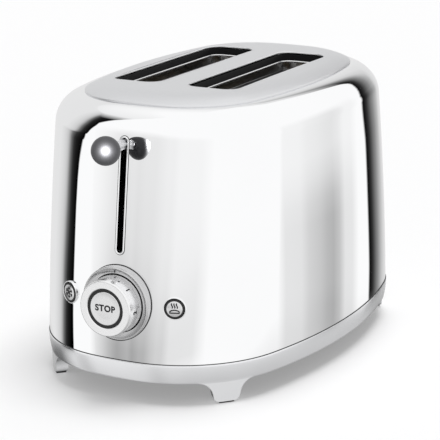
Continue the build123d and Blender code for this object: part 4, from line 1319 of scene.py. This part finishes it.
class TOASTER_OT_buttons(BuildOperator):
    """Make the two round buttons with their rims and pictures"""

    bl_idname = "toaster.buttons"
    bl_label = "Buttons"

    def execute(self, context):
        sizes = self.sizes
        radius = sizes.button_radius
        bore = radius + 0.3 * MM
        rim = bore + 0.7 * MM
        stem, seat, proud = 3 * MM, -1.7 * MM, 1.5 * MM
        face = radius - 1.35 * MM
        trim = [(bore, -4 * MM), (bore, 0.9 * MM)]
        trim += arc((bore + 0.35 * MM, 0.85 * MM), 0.35 * MM, 180, 0, 6)
        trim += [(rim, -4 * MM)]
        key = [(stem, -6 * MM), (stem, seat), (radius, seat), (radius, proud - 0.7 * MM)]
        key += arc((radius - 0.5 * MM, proud - 0.7 * MM), 0.5 * MM, 0, 90, 4)
        key += [(0, proud - 0.2 * MM)]
        disc = [(face, proud - 0.25 * MM), (face, proud - 0.1 * MM), (face - 0.15 * MM, proud)]
        disc += [(0, proud)]
        for way, name, mark, lines, width in (
            (-1, "defrost", "snow_mark", self.snow(), 0.95 * MM),
            (1, "reheat", "warm_mark", self.warm_bun(), 0.85 * MM),
        ):
            place = button_place(way, 0, sizes)
            piece(
                name + "_trim", turned(trim, place, 72), "housing",
                "mirror_chrome", [name + "_rim"], crease=50
            )
            piece(
                name + "_key", turned(key, place, 72), name, "black_plastic",
                [name + "_button"], crease=50
            )
            # Painted shade: each button's face is a darker copy of the knob's turned steel.
            tint = shade(self.colours.spun, 0.85)
            out = place.to_3x3() @ Vector((0, 0, 1))
            spun_steel(tint, "spun_" + name, place.translation, out)
            piece(
                name + "_face", turned(disc, place, 72), name, "spun_" + name,
                crease=50
            )
            line_marks(mark, lines, width, button_place(way, proud + 0.01 * MM, sizes), name)
        return {"FINISHED"}

    def snow(self):
        """Lines of a snow crystal."""
        lines = []
        for arm in range(6):
            turn = Matrix.Rotation(math.radians(60 * arm), 2)
            lines.append([(0, 0), tuple(turn @ Vector((0, 3.7 * MM)))])
            for side in (-1, 1):
                fork, tip = Vector((0, 2.1 * MM)), Vector((side * 1.1 * MM, 3.2 * MM))
                lines.append([tuple(turn @ fork), tuple(turn @ tip)])
        return lines

    def warm_bun(self):
        """Lines of a bun with warm air over it."""
        half, flat, foot = 3.4 * MM, -2.7 * MM, -2.5 * MM
        bun = [(x, foot + y * 0.55) for x, y in arc((0, 0), 3.3 * MM, 10, 170, 14)]
        lines = [bun, [(-half, flat), (half, flat)]]
        for column in (-1.6, 0, 1.6):
            lines.append([
                ((column + 0.35 * math.sin(s * 2 * math.pi)) * MM, (0.5 + 3.4 * s) * MM)
                for s in (i / 10 for i in range(11))
            ])
        return lines


class TOASTER_OT_stage(BuildOperator):
    """Set the floor, the studio flats, the light and the camera"""

    bl_idname = "toaster.stage"
    bl_label = "Stage"

    def execute(self, context):
        scene = context.scene
        bm = bmesh.new()
        bmesh.ops.create_circle(bm, cap_ends=True, segments=64, radius=9)
        floor = linked("floor", bm)
        floor.data.materials.append(floor_paper(tuple(self.colours.floor)))
        floor.visible_glossy = False

        top = bpy.data.lights.new("top_lamp", "SUN")
        top.angle = math.radians(30)
        top.energy = 1.96
        self.aimed(top, (0.21, 0.33, 2.2)).visible_glossy = False

        front = bpy.data.lights.new("front_lamp", "AREA")
        front.shape = "DISK"
        front.size = 0.9
        front.energy = 900
        lamp = self.aimed(front, (1.05, -1.9, 0.62))
        lamp.visible_diffuse = False
        lit = bpy.data.collections.new("lever_light")
        lit.objects.link(bpy.data.objects["lever_grip"])
        lamp.light_linking.receiver_collection = lit

        scene.world = bpy.data.worlds.new("studio")
        studio_light(scene.world)
        scene.view_settings.view_transform = "Standard"
        lens = bpy.data.cameras.new("camera")
        lens.lens = CAMERA_LENS
        lens.sensor_width = 36
        lens.clip_end = 40
        scene.camera = self.aimed(lens, CAMERA_SPOT, CAMERA_ROLL)
        return {"FINISHED"}

    def aimed(self, data, spot, roll=0.0):
        """A lamp or camera that looks at the toaster, rolled by so many degrees."""
        made = bpy.data.objects.new(data.name, data)
        bpy.context.scene.collection.objects.link(made)
        made.location = spot
        way = TARGET - Vector(spot)
        turn = Matrix.Rotation(math.radians(roll), 3, "Z").to_quaternion()
        made.rotation_euler = (way.to_track_quat("-Z", "Y") @ turn).to_euler()
        return made


class TOASTER_PT_panel(Panel):
    """Lists the toaster's pieces and settings"""

    bl_idname = "TOASTER_PT_panel"
    bl_label = "Toaster"
    bl_space_type = "VIEW_3D"
    bl_region_type = "UI"
    bl_category = "Toaster"

    def draw(self, context):
        layout = self.layout
        for build in STEPS:
            layout.operator(build.bl_idname)
        for group in (context.scene.toaster_sizes, context.scene.toaster_colours):
            box = layout.box()
            for name in group.__annotations__:
                box.prop(group, name)


STEPS = (
    TOASTER_OT_finishes, TOASTER_OT_body_skin, TOASTER_OT_base_band, TOASTER_OT_top_cover,
    TOASTER_OT_wells, TOASTER_OT_lever, TOASTER_OT_dial, TOASTER_OT_buttons, TOASTER_OT_stage
)
CLASSES = (ToasterSizes, ToasterColours, *STEPS, TOASTER_PT_panel)


def register():
    for cls in CLASSES:
        bpy.utils.register_class(cls)
    bpy.types.Scene.toaster_sizes = PointerProperty(type=ToasterSizes)
    bpy.types.Scene.toaster_colours = PointerProperty(type=ToasterColours)


def unregister():
    del bpy.types.Scene.toaster_colours
    del bpy.types.Scene.toaster_sizes
    for cls in reversed(CLASSES):
        bpy.utils.unregister_class(cls)


def main():
    register()
    for build in STEPS:
        group, name = build.bl_idname.split(".")
        getattr(getattr(bpy.ops, group), name)()


if __name__ == "__main__":
    main()
